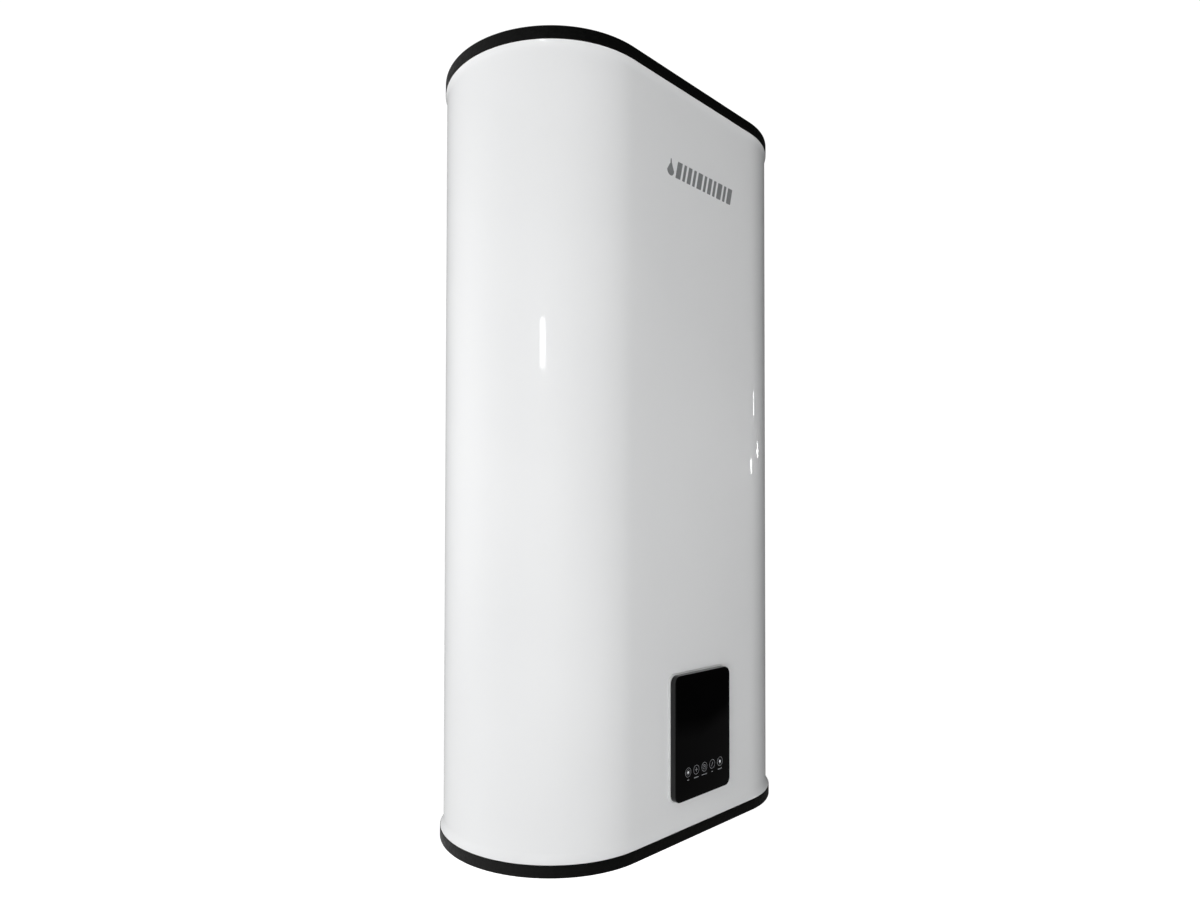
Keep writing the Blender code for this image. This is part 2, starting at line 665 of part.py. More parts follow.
def make_tank(name, sign):
    middle = (sign * TANK_X, 0, 0)
    barrel = turned(
        f"{name}_tank_barrel",
        [(TANK_RADIUS - TANK_WALL, BARREL_HIGH), (TANK_RADIUS, BARREL_HIGH),
         (TANK_RADIUS, BARREL_LOW), (TANK_RADIUS - TANK_WALL, BARREL_LOW)],
        STAINLESS, middle, TANK_STEPS, ring=True,
    )
    cut(barrel, transfer_hole(name, sign))
    inner = DOME_RADIUS - TANK_WALL
    inner_height = DOME_HEIGHT - TANK_WALL
    outside = arc(DOME_RADIUS, DOME_HEIGHT, BARREL_HIGH, 90, 0, DOME_STEPS)
    inside = arc(inner, inner_height, BARREL_HIGH, 0, 90, DOME_STEPS)
    outside[0] = (0, TANK_TOP)
    inside[-1] = (0, TANK_TOP - TANK_WALL)
    turned(
        f"{name}_tank_top_dome",
        [*outside, (DOME_RADIUS, BARREL_HIGH - DOME_SKIRT), (inner, BARREL_HIGH - DOME_SKIRT),
         *inside],
        STAINLESS, middle, TANK_STEPS,
    )
    neck = NECK_BORE + NECK_WALL
    outer_stop = math.degrees(math.acos(neck / DOME_RADIUS))
    inner_stop = math.degrees(math.acos(NECK_BORE / inner))
    collar_top = COLLAR_LOW + COLLAR_THICK
    dome = turned(
        f"{name}_tank_bottom_dome",
        [(inner, BARREL_LOW + DOME_SKIRT), (DOME_RADIUS, BARREL_LOW + DOME_SKIRT),
         *arc(DOME_RADIUS, DOME_HEIGHT, BARREL_LOW, 0, -outer_stop, DOME_STEPS),
         (neck, collar_top), (FLANGE_RADIUS, collar_top), (FLANGE_RADIUS, COLLAR_LOW),
         (NECK_BORE, COLLAR_LOW),
         *arc(inner, inner_height, BARREL_LOW, -inner_stop, 0, DOME_STEPS)],
        STAINLESS, middle, TANK_STEPS, ring=True,
    )
    cut(dome, rod(f"{name}_dome_hole", PIPE_RADIUS + GAP, 0.1, None,
                  (sign * PIPE_SPACING / 2, PIPE_BACK, TANK_BOTTOM)))
    length = COLLAR_LOW + COLLAR_THICK / 2 - STUD_TIP
    for number, (x, y) in enumerate(stud_places(sign), 1):
        join(dome, rod(f"{name}_stud_{number}", STUD_RADIUS, length, None,
                       (x, y, STUD_TIP + length / 2), steps=8))


def stud_places(sign):
    angles = [math.radians(45 + 90 * quarter) for quarter in range(4)]
    return [
        (sign * TANK_X + STUD_CIRCLE * math.cos(a), STUD_CIRCLE * math.sin(a)) for a in angles
    ]


def transfer_route(reach=0.0):
    """From inside the right tank's upper end to inside the left tank's lower end."""
    span = math.hypot(TANK_X, TRANSFER_BACK)
    ends = []
    for sign, height in ((1, TRANSFER_HIGH), (-1, TRANSFER_LOW)):
        share = (TANK_RADIUS - 0.008 - reach) / span
        ends.append((sign * TANK_X * (1 - share), TRANSFER_BACK * share, height))
    corners = [
        ends[0], (0, TRANSFER_BACK, TRANSFER_HIGH), (0, TRANSFER_BACK, TRANSFER_LOW), ends[1]
    ]
    return bent(corners, TRANSFER_BEND)


def transfer_hole(name, sign):
    height = TRANSFER_HIGH if sign > 0 else TRANSFER_LOW
    slant = math.atan2(TRANSFER_BACK, TANK_X)
    start = (sign * TANK_X * 0.30, TRANSFER_BACK * 0.70, height)
    turn = (math.pi / 2, 0, math.pi / 2 - sign * slant)
    return rod(f"{name}_transfer_hole", TRANSFER_RADIUS + GAP, 0.05, None, start, turn)


def make_transfer_pipe():
    curve = tube_curve("transfer_pipe", transfer_route(), TRANSFER_RADIUS, caps=False)
    pipe = place(mesh_of_curve(curve, "transfer_pipe"), "transfer_pipe", STAINLESS)
    modifier(pipe, "SOLIDIFY", thickness=TRANSFER_WALL, offset=-1)


def make_water_pipes():
    right, left = PIPE_SPACING / 2, -PIPE_SPACING / 2
    inlet_top = BARREL_LOW + 0.010
    turned(
        "cold_inlet_pipe",
        [(PIPE_BORE, inlet_top), (PIPE_RADIUS, inlet_top), (PIPE_RADIUS, -PIPE_DROP),
         (PIPE_BORE, -PIPE_DROP)],
        STAINLESS, (right, PIPE_BACK, 0), ring=True,
    )
    standpipe_top = BARREL_HIGH + 0.004
    shoulder = BARREL_LOW
    turned(
        "hot_outlet_pipe",
        [(PIPE_BORE, standpipe_top), (STANDPIPE_RADIUS, standpipe_top),
         (STANDPIPE_RADIUS, shoulder), (PIPE_RADIUS, shoulder), (PIPE_RADIUS, -PIPE_DROP),
         (PIPE_BORE, -PIPE_DROP)],
        STAINLESS, (left, PIPE_BACK, 0), ring=True,
    )
    rim, lip = PIPE_RADIUS + 0.0004, 0.002
    diffuser = turned(
        "inlet_diffuser",
        [(0, inlet_top + 0.022), (rim + lip, inlet_top + 0.020), (rim + lip, inlet_top - 0.004),
         (rim, inlet_top - 0.004), (rim, inlet_top + 0.018), (0, inlet_top + 0.020)],
        WHITE_PLASTIC, (right, PIPE_BACK, 0),
    )
    for number, angle in enumerate((0, math.pi / 2), 1):
        slot = box(f"diffuser_slot_{number}", (0.04, 0.006, 0.010), None,
                   (right, PIPE_BACK, inlet_top + 0.010))
        slot.rotation_euler = (0, 0, angle)
        cut(diffuser, slot)
    for name, x, finish in (("cold_collar", right, COLD_BLUE), ("hot_collar", left, RESET_RED)):
        bore = PIPE_RADIUS + 0.0004
        sleeve = PIPE_RADIUS + 0.0016
        turned(
            name,
            [(bore, CAP_FLOOR), (sleeve, CAP_FLOOR), (sleeve, -GAP), (0.0155, -GAP),
             (0.0155, -0.0030), (0.0145, -0.0040), (bore, -0.0040)],
            finish, (x, PIPE_BACK, 0), steps=16, ring=True,
        )


# ---- Heating assembly in each tank's neck ---------------------------------------------------

def make_heating(name, sign):
    x = sign * TANK_X
    flange = rod(f"{name}_flange", FLANGE_RADIUS, FLANGE_THICK, ZINC,
                 (x, 0, FLANGE_LOW + FLANGE_THICK / 2), steps=TANK_STEPS)
    gasket = turned(
        f"{name}_flange_gasket",
        [(NECK_BORE, GASKET_LOW + GASKET_THICK), (FLANGE_RADIUS, GASKET_LOW + GASKET_THICK),
         (FLANGE_RADIUS, GASKET_LOW), (NECK_BORE, GASKET_LOW)],
        RUBBER, (x, 0, 0), TANK_STEPS, ring=True,
    )
    for number, (stud_x, stud_y) in enumerate(stud_places(sign), 1):
        hole = rod(f"{name}_stud_hole_{number}", STUD_RADIUS + GAP, 0.03, None,
                   (stud_x, stud_y, FLANGE_LOW), steps=8)
        cut(flange, hole)
        cut(gasket, hole)
        nut = rod(f"{name}_flange_nut_{number}", 0.0057, NUT_THICK, ZINC,
                  (stud_x, stud_y, NUT_LOW + NUT_THICK / 2), steps=6)
        cut(nut, hole)
    for label, hole_x, hole_y, radius in (
        ("leg_a", -ELEMENT_HALF_PITCH, 0, ELEMENT_RADIUS),
        ("leg_b", ELEMENT_HALF_PITCH, 0, ELEMENT_RADIUS),
        ("well", 0, STACK_OFFSET, WELL_RADIUS),
        ("anode", 0, -STACK_OFFSET, STUD_RADIUS),
    ):
        cut(flange, rod(f"{name}_{label}_hole", radius + GAP, 0.02, None,
                        (x + hole_x, hole_y, FLANGE_LOW)))
    make_element(name, x)
    rod_low = COLLAR_LOW + 0.006
    top = rod_low + ANODE_LENGTH
    turned(
        f"{name}_anode_rod",
        [(0, top), (ANODE_RADIUS - 0.002, top), (ANODE_RADIUS, top - 0.002),
         (ANODE_RADIUS, rod_low), (STUD_RADIUS, rod_low), (STUD_RADIUS, FLANGE_LOW - 0.010),
         (0, FLANGE_LOW - 0.010)],
        MAGNESIUM, (x, -STACK_OFFSET, 0),
    )
    bore = WELL_RADIUS - WELL_WALL
    turned(
        f"{name}_thermowell",
        [(0, WELL_TOP), (WELL_RADIUS, WELL_TOP - 0.002), (WELL_RADIUS, FLANGE_LOW - 0.004),
         (bore, FLANGE_LOW - 0.004), (bore, WELL_TOP - 0.003), (0, WELL_TOP - 0.002)],
        COPPER, (x, STACK_OFFSET, 0), steps=12,
    )


def make_element(name, x):
    """A sheathed heater bent to a hairpin, with a thin contact pin at each end."""
    leg = [(0.018, 0.45), (0.029, 0.45), (0.0292, 1.0), (FLANGE_LOW + 0.01, 1.0),
           (ELEMENT_TOP - ELEMENT_HALF_PITCH, 1.0)]
    route = [(x - ELEMENT_HALF_PITCH, 0, z, thick) for z, thick in leg]
    steps = 8
    for step in range(1, steps):
        angle = math.pi * step / steps
        route.append((
            x - ELEMENT_HALF_PITCH * math.cos(angle), 0,
            ELEMENT_TOP - ELEMENT_HALF_PITCH + ELEMENT_HALF_PITCH * math.sin(angle), 1.0,
        ))
    route += [(x + ELEMENT_HALF_PITCH, 0, z, thick) for z, thick in reversed(leg)]
    curve = tube_curve(f"{name}_heating_element", route, ELEMENT_RADIUS)
    place(curve, f"{name}_heating_element", COPPER)


# ---- Electrics in the bottom compartment ------------------------------------------------------

GLAND_STEM = 0.0085
GLAND_FLANGE = 0.0125
CUTOUT_MIDDLE_Z = CUTOUT_LOW + CUTOUT_SIZE[2] / 2
CHAMBER_LOW = CUTOUT_LOW + BUTTON_LIP


def make_electrics():
    width, depth, tall = TRAY_SIZE
    tray_top = TRAY_UNDER + 0.002
    tray = box("power_tray", TRAY_SIZE, GREY_PLASTIC, (0, 0, tray_top - tall / 2))
    cut(tray, box("tray_hollow", (width - 0.004, depth - 0.004, tall), None,
                  (0, 0, TRAY_UNDER - tall / 2)))
    board_z = TRAY_UNDER - 0.008
    board = box("power_board", (0.066, 0.060, BOARD_THICK), BOARD_GREEN, (0.021, 0, board_z))
    under = board_z - BOARD_THICK / 2
    soldered = {
        "relay_a": ((0.016, 0.020, 0.015), (0.000, -0.016)),
        "relay_b": ((0.016, 0.020, 0.015), (0.000, 0.016)),
        "transformer": ((0.022, 0.026, 0.018), (0.024, 0.000)),
        "terminal_block": ((0.010, 0.050, 0.011), (0.046, 0.000)),
    }
    for name, (size, (x, y)) in soldered.items():
        join(board, box(name, size, None, (x, y, under - size[2] / 2 + 0.0005)))
    cutout = box("thermal_cutout", CUTOUT_SIZE, RUBBER, (CUTOUT_X, 0, CUTOUT_MIDDLE_Z))
    modifier(cutout, "BEVEL", width=0.0012, segments=2, limit_method="ANGLE")
    collar_radius, collar_thick = BUTTON_COLLAR
    mouth = rod("button_mouth", BUTTON_RADIUS + GAP, 3 * BUTTON_LIP, None,
                (CUTOUT_X, 0, CUTOUT_LOW))
    chamber = rod("button_chamber", collar_radius + GAP, BUTTON_CHAMBER, None,
                  (CUTOUT_X, 0, CHAMBER_LOW + BUTTON_CHAMBER / 2))
    cut(cutout, mouth, chamber)
    edge = 0.0008
    step = CHAMBER_LOW + GAP - BUTTON_LOW
    turned(
        "reset_button",
        [(0, step + collar_thick), (collar_radius, step + collar_thick),
         (collar_radius, step), (BUTTON_RADIUS, step), (BUTTON_RADIUS, edge),
         (BUTTON_RADIUS - edge, 0), (0, 0)],
        RESET_RED, (CUTOUT_X, 0, BUTTON_LOW),
    )
    make_spring(CHAMBER_LOW + GAP + collar_thick, CHAMBER_LOW + BUTTON_CHAMBER)
    place(
        tube_curve("capillary_sensor", CAPILLARY_ROUTE, 0.0011), "capillary_sensor", COPPER
    )
    place(tube_curve("display_cable", CABLE_ROUTE, 0.0022), "display_cable", RUBBER)
    turned(
        "cable_gland",
        [(GLAND_BORE, CAP_FLOOR + 0.008), (GLAND_FLANGE, CAP_FLOOR + 0.008),
         (GLAND_FLANGE, CAP_FLOOR + GAP), (GLAND_STEM, CAP_FLOOR + GAP), (GLAND_STEM, -GAP),
         (GLAND_FLANGE, -GAP), (GLAND_FLANGE, -0.004), (0.009, -0.006), (0.0075, -0.013),
         (GLAND_BORE, -0.013)],
        RUBBER, (0, GLAND_BACK, 0), steps=16, ring=True,
    )


def make_spring(floor, ceiling):
    """The coil that pushes the reset button back out, between its collar and the chamber's end."""
    low = floor + SPRING_WIRE + GAP
    high = ceiling - SPRING_WIRE - GAP
    radius = BUTTON_RADIUS
    steps = 8 * SPRING_TURNS
    route = []
    for step in range(steps + 1):
        angle = 2 * math.pi * SPRING_TURNS * step / steps
        route.append((
            CUTOUT_X + radius * math.cos(angle), radius * math.sin(angle),
            low + (high - low) * step / steps,
        ))
    place(tube_curve("reset_spring", route, SPRING_WIRE, 1), "reset_spring", ZINC)


# ---- Control panel on the front ---------------------------------------------------------------

BOX_WIDTH = PANEL_WIDTH - 2 * LENS_RIM - 0.002
BOX_HEIGHT = PANEL_HEIGHT - 2 * LENS_RIM - 0.002
BEZEL_FRONT = JACKET_FRONT - GAP - BEZEL_THICK
LENS_BACK = BEZEL_FRONT - GAP
LENS_FRONT = JACKET_FRONT - PANEL_STANDOUT
BOX_FRONT = LENS_BACK - 0.0012
BOX_BACK_Y = BOX_FRONT + BOX_DEPTH
BOARD_Y = JACKET_FRONT + 0.002
KEY_Z = PANEL_MIDDLE - KEY_DROP


def upright_plate(name, width, height, corner, front, back, finish=None, middle=PANEL_MIDDLE):
    """A round-cornered plate that faces the front, between two places along Y."""
    return flat_outline(
        name, round_rectangle(width, height, corner), back - front, finish,
        (0, (front + back) / 2, middle), (math.pi / 2, 0, 0),
    )


def make_panel():
    bezel = upright_plate(
        "panel_bezel", PANEL_WIDTH + 2 * BEZEL_MARGIN, PANEL_HEIGHT + 2 * BEZEL_MARGIN,
        PANEL_CORNER + BEZEL_MARGIN, BEZEL_FRONT, JACKET_FRONT - GAP, WHITE_PLASTIC,
    )
    modifier(bezel, "BEVEL", width=0.0006, segments=1, limit_method="ANGLE",
             angle_limit=math.radians(60))
    cut(bezel, upright_plate("bezel_window", BOX_WIDTH + 0.002, BOX_HEIGHT + 0.002, 0.005,
                             BEZEL_FRONT - 0.01, JACKET_FRONT + 0.01))
    lens = upright_plate("panel_lens", PANEL_WIDTH, PANEL_HEIGHT, PANEL_CORNER,
                         LENS_FRONT, LENS_BACK, PIANO_BLACK)
    modifier(lens, "BEVEL", width=0.0018, segments=2, limit_method="ANGLE",
             angle_limit=math.radians(60))
    cut(lens, upright_plate(
        "lens_hollow", PANEL_WIDTH - 2 * LENS_RIM, PANEL_HEIGHT - 2 * LENS_RIM, 0.006,
        LENS_FRONT + LENS_FACE, LENS_BACK + 0.01,
    ))
    housing = upright_plate("panel_box", BOX_WIDTH, BOX_HEIGHT, 0.004, BOX_FRONT, BOX_BACK_Y,
                            GREY_PLASTIC)
    cut(
        housing,
        upright_plate("box_hollow", BOX_WIDTH - 2 * BOX_WALL, BOX_HEIGHT - 2 * BOX_WALL,
                      0.002, BOX_FRONT - 0.01, BOX_BACK_Y - BOX_WALL),
        rod("box_cable_hole", 0.004, 0.02, None, CABLE_HOLE, (math.pi / 2, 0, 0)),
    )
    board = upright_plate(
        "display_board", BOX_WIDTH - 2 * BOX_WALL - 0.001, BOX_HEIGHT - 2 * BOX_WALL - 0.001,
        0.003, BOARD_Y, BOARD_Y + BOARD_THICK, BOARD_GREEN,
    )
    join(board, box("digit_module", (0.046, 0.007, 0.022), None,
                    (0, BOARD_Y - 0.0032, PANEL_MIDDLE + 0.030)))
    guide_front = LENS_FRONT + LENS_FACE + GAP
    guide = box(
        "touch_light_guide",
        (KEY_COUNT * KEY_PITCH + 0.001, BOARD_Y - GAP - guide_front, 0.015), WHITE_PLASTIC,
        (0, (BOARD_Y - GAP + guide_front) / 2, KEY_Z),
    )
    for key in range(KEY_COUNT):
        x = (key - (KEY_COUNT - 1) / 2) * KEY_PITCH
        cut(guide, rod(f"key_well_{key + 1}", 0.005, 0.03, None,
                       (x, BOARD_Y - 0.005, KEY_Z), (math.pi / 2, 0, 0), 12))


# ---- Hand-laid routes inside the body: the capillary tube and the display's cable ---------------

CAPILLARY_ROUTE = [
    (-0.040, 0.0216, 0.047), (-0.041, 0.026, 0.0465), (-0.045, 0.031, 0.0445),
    (-0.053, 0.0345, 0.040), (-0.064, 0.036, 0.035), (-0.077, 0.034, 0.0315),
    (-0.089, 0.029, 0.0300), (-0.099, 0.022, 0.0297), (-0.106, 0.0155, 0.0310),
    (-0.1092, 0.0123, 0.0345), (-TANK_X, STACK_OFFSET, 0.040), (-TANK_X, STACK_OFFSET, 0.060),
    (-TANK_X, STACK_OFFSET, 0.1795), (-TANK_X, STACK_OFFSET, 0.180, 2.4),
    (-TANK_X, STACK_OFFSET, 0.250, 2.4),
]
CABLE_HOLE = (0.010, BOX_BACK_Y, 0.0640)
CABLE_ROUTE = [
    (0.016, -0.0340, 0.0440), (0.016, -0.0410, 0.0435), (0.016, -0.0520, 0.0430),
    (0.0155, JACKET_FRONT + 0.061, 0.0435), (0.0145, JACKET_FRONT + 0.050, 0.0460),
    (0.0130, JACKET_FRONT + 0.041, 0.0505), (0.0115, JACKET_FRONT + 0.034, 0.0560),
    (0.0105, JACKET_FRONT + 0.028, 0.0605), (0.0100, JACKET_FRONT + 0.022, 0.0632),
    (0.0100, JACKET_FRONT + 0.017, 0.0640), (0.0100, BOARD_Y + BOARD_THICK + 0.0006, 0.0640),
]
COVER_SCREWS = {
    "left": (-(COVER_WIDTH - COVER_LEDGE_ENDS) / 2, 0.0),
    "right": ((COVER_WIDTH - COVER_LEDGE_ENDS) / 2, 0.0),
    "front": (0.0, -(COVER_DEPTH - COVER_LEDGE_SIDES) / 2),
    "back": (0.0, (COVER_DEPTH - COVER_LEDGE_SIDES) / 2),
}

clear_scene()
PARTS = collection_named("flat_water_heater")
CUTTERS = collection_named("cutters")
BODY_BASE = bpy.data.objects.new("body_base", None)
BODY_BASE.location = (0, -(WALL_GAP + BODY_DEPTH / 2), -BRACKET_HEIGHT)
PARTS.objects.link(BODY_BASE)

make_jacket()
make_top_cap()
make_bottom_cap()
make_service_cover()
make_foam()
for bracket_level, bracket_height in BRACKETS.items():
    make_bracket(bracket_level, bracket_height)
    make_tie_plate(bracket_level, bracket_height)
    for side_name, side_sign in SIDES.items():
        make_bolt(bracket_level, bracket_height, side_name, side_sign)
for side_name, side_sign in SIDES.items():
    make_tank(side_name, side_sign)
    make_heating(side_name, side_sign)
make_transfer_pipe()
make_water_pipes()
make_electrics()
make_panel()
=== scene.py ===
import math

import bmesh
import bpy
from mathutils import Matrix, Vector


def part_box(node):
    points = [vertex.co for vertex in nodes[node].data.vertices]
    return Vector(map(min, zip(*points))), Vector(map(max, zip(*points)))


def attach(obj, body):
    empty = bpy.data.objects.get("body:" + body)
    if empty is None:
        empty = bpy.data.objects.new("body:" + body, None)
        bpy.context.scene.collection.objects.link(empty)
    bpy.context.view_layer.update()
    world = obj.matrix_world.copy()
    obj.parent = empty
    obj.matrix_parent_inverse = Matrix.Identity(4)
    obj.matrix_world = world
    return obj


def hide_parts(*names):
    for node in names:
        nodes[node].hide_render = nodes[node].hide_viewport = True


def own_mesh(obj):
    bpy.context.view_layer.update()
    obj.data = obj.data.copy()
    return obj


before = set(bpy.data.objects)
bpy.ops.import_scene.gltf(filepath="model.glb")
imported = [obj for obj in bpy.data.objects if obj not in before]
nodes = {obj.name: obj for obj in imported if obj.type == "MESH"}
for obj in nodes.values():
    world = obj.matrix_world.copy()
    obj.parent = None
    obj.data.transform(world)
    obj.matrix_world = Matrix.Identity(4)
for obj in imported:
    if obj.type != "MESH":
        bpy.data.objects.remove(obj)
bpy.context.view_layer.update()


# ---- Standpoint ---------------------------------------------------------------------------
# The heater is seen from beyond its left end, a little below the middle of its height and
# close enough that the near end looks taller than the far one.
EYE = (-0.7174, -0.8045, -0.3076)
HEADING = 43.845                # degrees to the right of straight on
TILT_UP = 1.05
TILT_SIDE = -0.136

lens = bpy.data.cameras.new("standpoint")
lens.sensor_width = 36.0
lens.lens = 22.997
lens.shift_x, lens.shift_y = 0.0230, 0.0518
lens.clip_start, lens.clip_end = 0.02, 60.0
standpoint = bpy.data.objects.new("standpoint", lens)
standpoint.location = EYE
standpoint.rotation_euler = (
    math.radians(90 + TILT_UP), math.radians(TILT_SIDE), math.radians(-HEADING)
)
bpy.context.scene.collection.objects.link(standpoint)
bpy.context.scene.camera = standpoint


# ---- Room, floor and lamps ----------------------------------------------------------------
# A white studio: a pale floor far below, a wide soft lamp beyond the left end, weaker ones in
# front and on the right, and walls that are pale behind the heater and dark before it.
FLOOR_HEIGHT = -1.75
WALL_BRIGHT, WALL_MIDDLE, WALL_DARK = 0.50, 0.11, 0.012
PALE_WAY = (-0.60, 0.75, -0.50)
GROUND_WAY, GROUND_GLOW = (0.16, -0.02, -1.0), 0.040    # where the ground shows in gloss


def add_node(tree, kind, inputs=None, **settings):
    """Adds a node, sets it, and fills its inputs with values or with other nodes' outputs."""
    node = tree.nodes.new(kind)
    for setting, value in settings.items():
        setattr(node, setting, value)
    for socket, value in (inputs or {}).items():
        if isinstance(value, bpy.types.NodeSocket):
            tree.links.new(value, node.inputs[socket])
        else:
            node.inputs[socket].default_value = value
    return node


def make_room():
    room = bpy.data.worlds.new("studio")
    room.use_nodes = True
    tree = room.node_tree
    tree.nodes.clear()
    way = add_node(tree, "ShaderNodeTexCoord").outputs["Generated"]
    toward_back = add_node(
        tree, "ShaderNodeVectorMath", {0: way, 1: PALE_WAY}, operation="DOT_PRODUCT"
    )
    shade = add_node(
        tree, "ShaderNodeMapRange",
        {"Value": toward_back.outputs["Value"], "From Min": -0.8, "From Max": 0.9},
    )
    walls = add_node(tree, "ShaderNodeValToRGB", {"Fac": shade.outputs["Result"]})
    stops = walls.color_ramp.elements
    stops[0].position, stops[0].color = 0.06, (WALL_DARK,) * 3 + (1,)
    stops[1].position, stops[1].color = 1.0, (WALL_BRIGHT,) * 3 + (1,)
    halfway = stops.new(0.5)
    halfway.color = (WALL_MIDDLE,) * 3 + (1,)
    below = add_node(
        tree, "ShaderNodeVectorMath", {0: way, 1: GROUND_WAY}, operation="DOT_PRODUCT"
    )
    ground = add_node(
        tree, "ShaderNodeMapRange",
        {"Value": below.outputs["Value"], "From Min": 0.325, "From Max": 0.36,
         "To Min": 0.0, "To Max": GROUND_GLOW},
    )
    both = add_node(
        tree, "ShaderNodeMix",
        {"Factor": 1.0, "A": walls.outputs["Color"], "B": ground.outputs["Result"]},
        data_type="RGBA", blend_type="ADD",
    )
    lit = add_node(tree, "ShaderNodeBackground", {"Color": both.outputs["Result"]})
    seen = add_node(tree, "ShaderNodeBackground", {"Color": (1, 1, 1, 1), "Strength": 1.05})
    ray = add_node(tree, "ShaderNodeLightPath").outputs["Is Camera Ray"]
    blend = add_node(
        tree, "ShaderNodeMixShader",
        {0: ray, 1: lit.outputs["Background"], 2: seen.outputs["Background"]},
    )
    add_node(tree, "ShaderNodeOutputWorld", {"Surface": blend.outputs["Shader"]})
    bpy.context.scene.world = room


make_room()
bpy.context.scene.view_settings.view_transform = "Standard"


def hang_lamp(name, place, aim, wide, tall, power, glint=False):
    """A rectangular lamp. It either lights the room, or only glints in gloss."""
    lamp = bpy.data.lights.new(name, "AREA")
    lamp.shape = "RECTANGLE"
    lamp.size, lamp.size_y, lamp.energy = wide, tall, power
    hung = bpy.data.objects.new(name, lamp)
    hung.location = place
    hung.rotation_euler = (Vector(aim) - Vector(place)).to_track_quat("-Z", "Y").to_euler()
    hung.visible_camera = False
    hung.visible_glossy = glint
    hung.visible_diffuse = not glint
    bpy.context.scene.collection.objects.link(hung)


HEART = (0, -0.14, -0.22)       # the middle of the heater
for lamp in (
    ("wide_lamp", (-1.32, -1.24, -0.22), (-0.10, -0.20, -0.24), 1.1, 1.9, 21.8),
    ("front_lamp", (0.1, -2.3, -0.50), (0, -0.26, -0.25), 1.4, 1.4, 11),
    ("far_lamp", (1.9, -1.5, 0.2), (0.1, -0.14, -0.22), 1.6, 1.8, 4),
    ("back_lamp_left", (-1.45, 1.60, 0.1), HEART, 1.4, 1.8, 30),
    ("back_lamp_right", (1.2, 1.8, 0.3), HEART, 1.4, 1.8, 20),
    ("under_lamp", (0.1, 0.25, -1.65), (0, -0.14, -0.66), 1.0, 0.8, 9),
):
    hang_lamp(*lamp)
for lamp in (
    ("ceiling_lamp", (0.1, 0.3, 2.3), (0, -0.14, 0.2), 1.6, 1.2, 9),
    ("glint_left", (-1.754, -1.392, 0.355), (-0.20, -0.22, -0.12), 0.20, 0.16, 1.4),
    ("glint_right_high", (1.938, -1.041, 0.164), (0.12, -0.26, -0.14), 0.05, 0.08, 0.30),
    ("glint_right_middle", (2.070, -0.713, -0.006), (0.13, -0.26, -0.20), 0.04, 0.05, 0.30),
    ("glint_right_low", (1.846, -1.221, -0.065), (0.11, -0.26, -0.23), 0.07, 0.05, 0.30),
):
    hang_lamp(*lamp, glint=True)

bpy.ops.object.select_all(action="DESELECT")
bpy.ops.mesh.primitive_plane_add(size=14.0, location=(0, 0, FLOOR_HEIGHT))
floor = bpy.context.active_object
floor.name = "floor"
floor_paint = bpy.data.materials.new("floor_paint")
floor_paint.use_nodes = True
floor_tree = floor_paint.node_tree
floor_shader = floor_tree.nodes["Principled BSDF"]
floor_shader.inputs["Roughness"].default_value = 0.8
floor_shader.inputs["Emission Strength"].default_value = 0.95
floor_shader.inputs["Emission Color"].default_value = (1, 1, 1, 1)
floor_place = add_node(floor_tree, "ShaderNodeTexCoord").outputs["Object"]
floor_cloud = add_node(floor_tree, "ShaderNodeTexNoise", {"Vector": floor_place, "Scale": 2.0})
floor_tone = add_node(
    floor_tree, "ShaderNodeMix",
    {"Factor": floor_cloud.outputs["Fac"], "A": (0.90, 0.90, 0.90, 1), "B": (0.94, 0.94, 0.94, 1)},
    data_type="RGBA",
)
floor_tree.links.new(floor_tone.outputs["Result"], floor_shader.inputs["Base Color"])
floor.data.materials.append(floor_paint)
floor.visible_diffuse = False
floor.visible_glossy = False


# ---- Tanks --------------------------------------------------------------------------------
# Two long pressure vessels of thin stainless sheet, rolled, drawn and welded, with a pipe
# joining them and tie plates across their backs. The sheet keeps its fine rolling lines.
STEEL_LIGHT, STEEL_DARK = (0.60, 0.59, 0.57), (0.42, 0.41, 0.40)


def new_finish(name, **sockets):
    """Starts a finish; its even values go on the shader's own sockets."""
    finish = bpy.data.materials.new(name)
    finish.use_nodes = True
    shader = finish.node_tree.nodes["Principled BSDF"]
    for socket, value in sockets.items():
        shader.inputs[socket.replace("_", " ")].default_value = value
    return finish


def noise(finish, size, detail=3.0, stretch=(1, 1, 1)):
    """Soft random patches, size metres across, on the piece's own coordinates."""
    tree = finish.node_tree
    place = add_node(tree, "ShaderNodeTexCoord").outputs["Object"]
    fitted = add_node(tree, "ShaderNodeMapping", {"Vector": place, "Scale": stretch})
    patches = add_node(
        tree, "ShaderNodeTexNoise",
        {"Vector": fitted.outputs["Vector"], "Scale": 1 / size, "Detail": detail},
    )
    return patches.outputs["Fac"]


def cells(finish, size, output="Distance", **settings):
    """Crowded cells, size metres apart, on the piece's own coordinates."""
    tree = finish.node_tree
    place = add_node(tree, "ShaderNodeTexCoord").outputs["Object"]
    made = add_node(
        tree, "ShaderNodeTexVoronoi", {"Vector": place, "Scale": 1 / size}, **settings
    )
    return made.outputs[output]


def colour_by(finish, pattern, dark, light, low=0.3, high=0.7):
    """Colours the piece from dark to light where the pattern goes from low to high."""
    tree = finish.node_tree
    ramp = add_node(tree, "ShaderNodeValToRGB", {"Fac": pattern})
    ends = ramp.color_ramp.elements
    ends[0].position, ends[0].color = low, (*dark, 1)
    ends[1].position, ends[1].color = high, (*light, 1)
    shader = tree.nodes["Principled BSDF"]
    tree.links.new(ramp.outputs["Color"], shader.inputs["Base Color"])


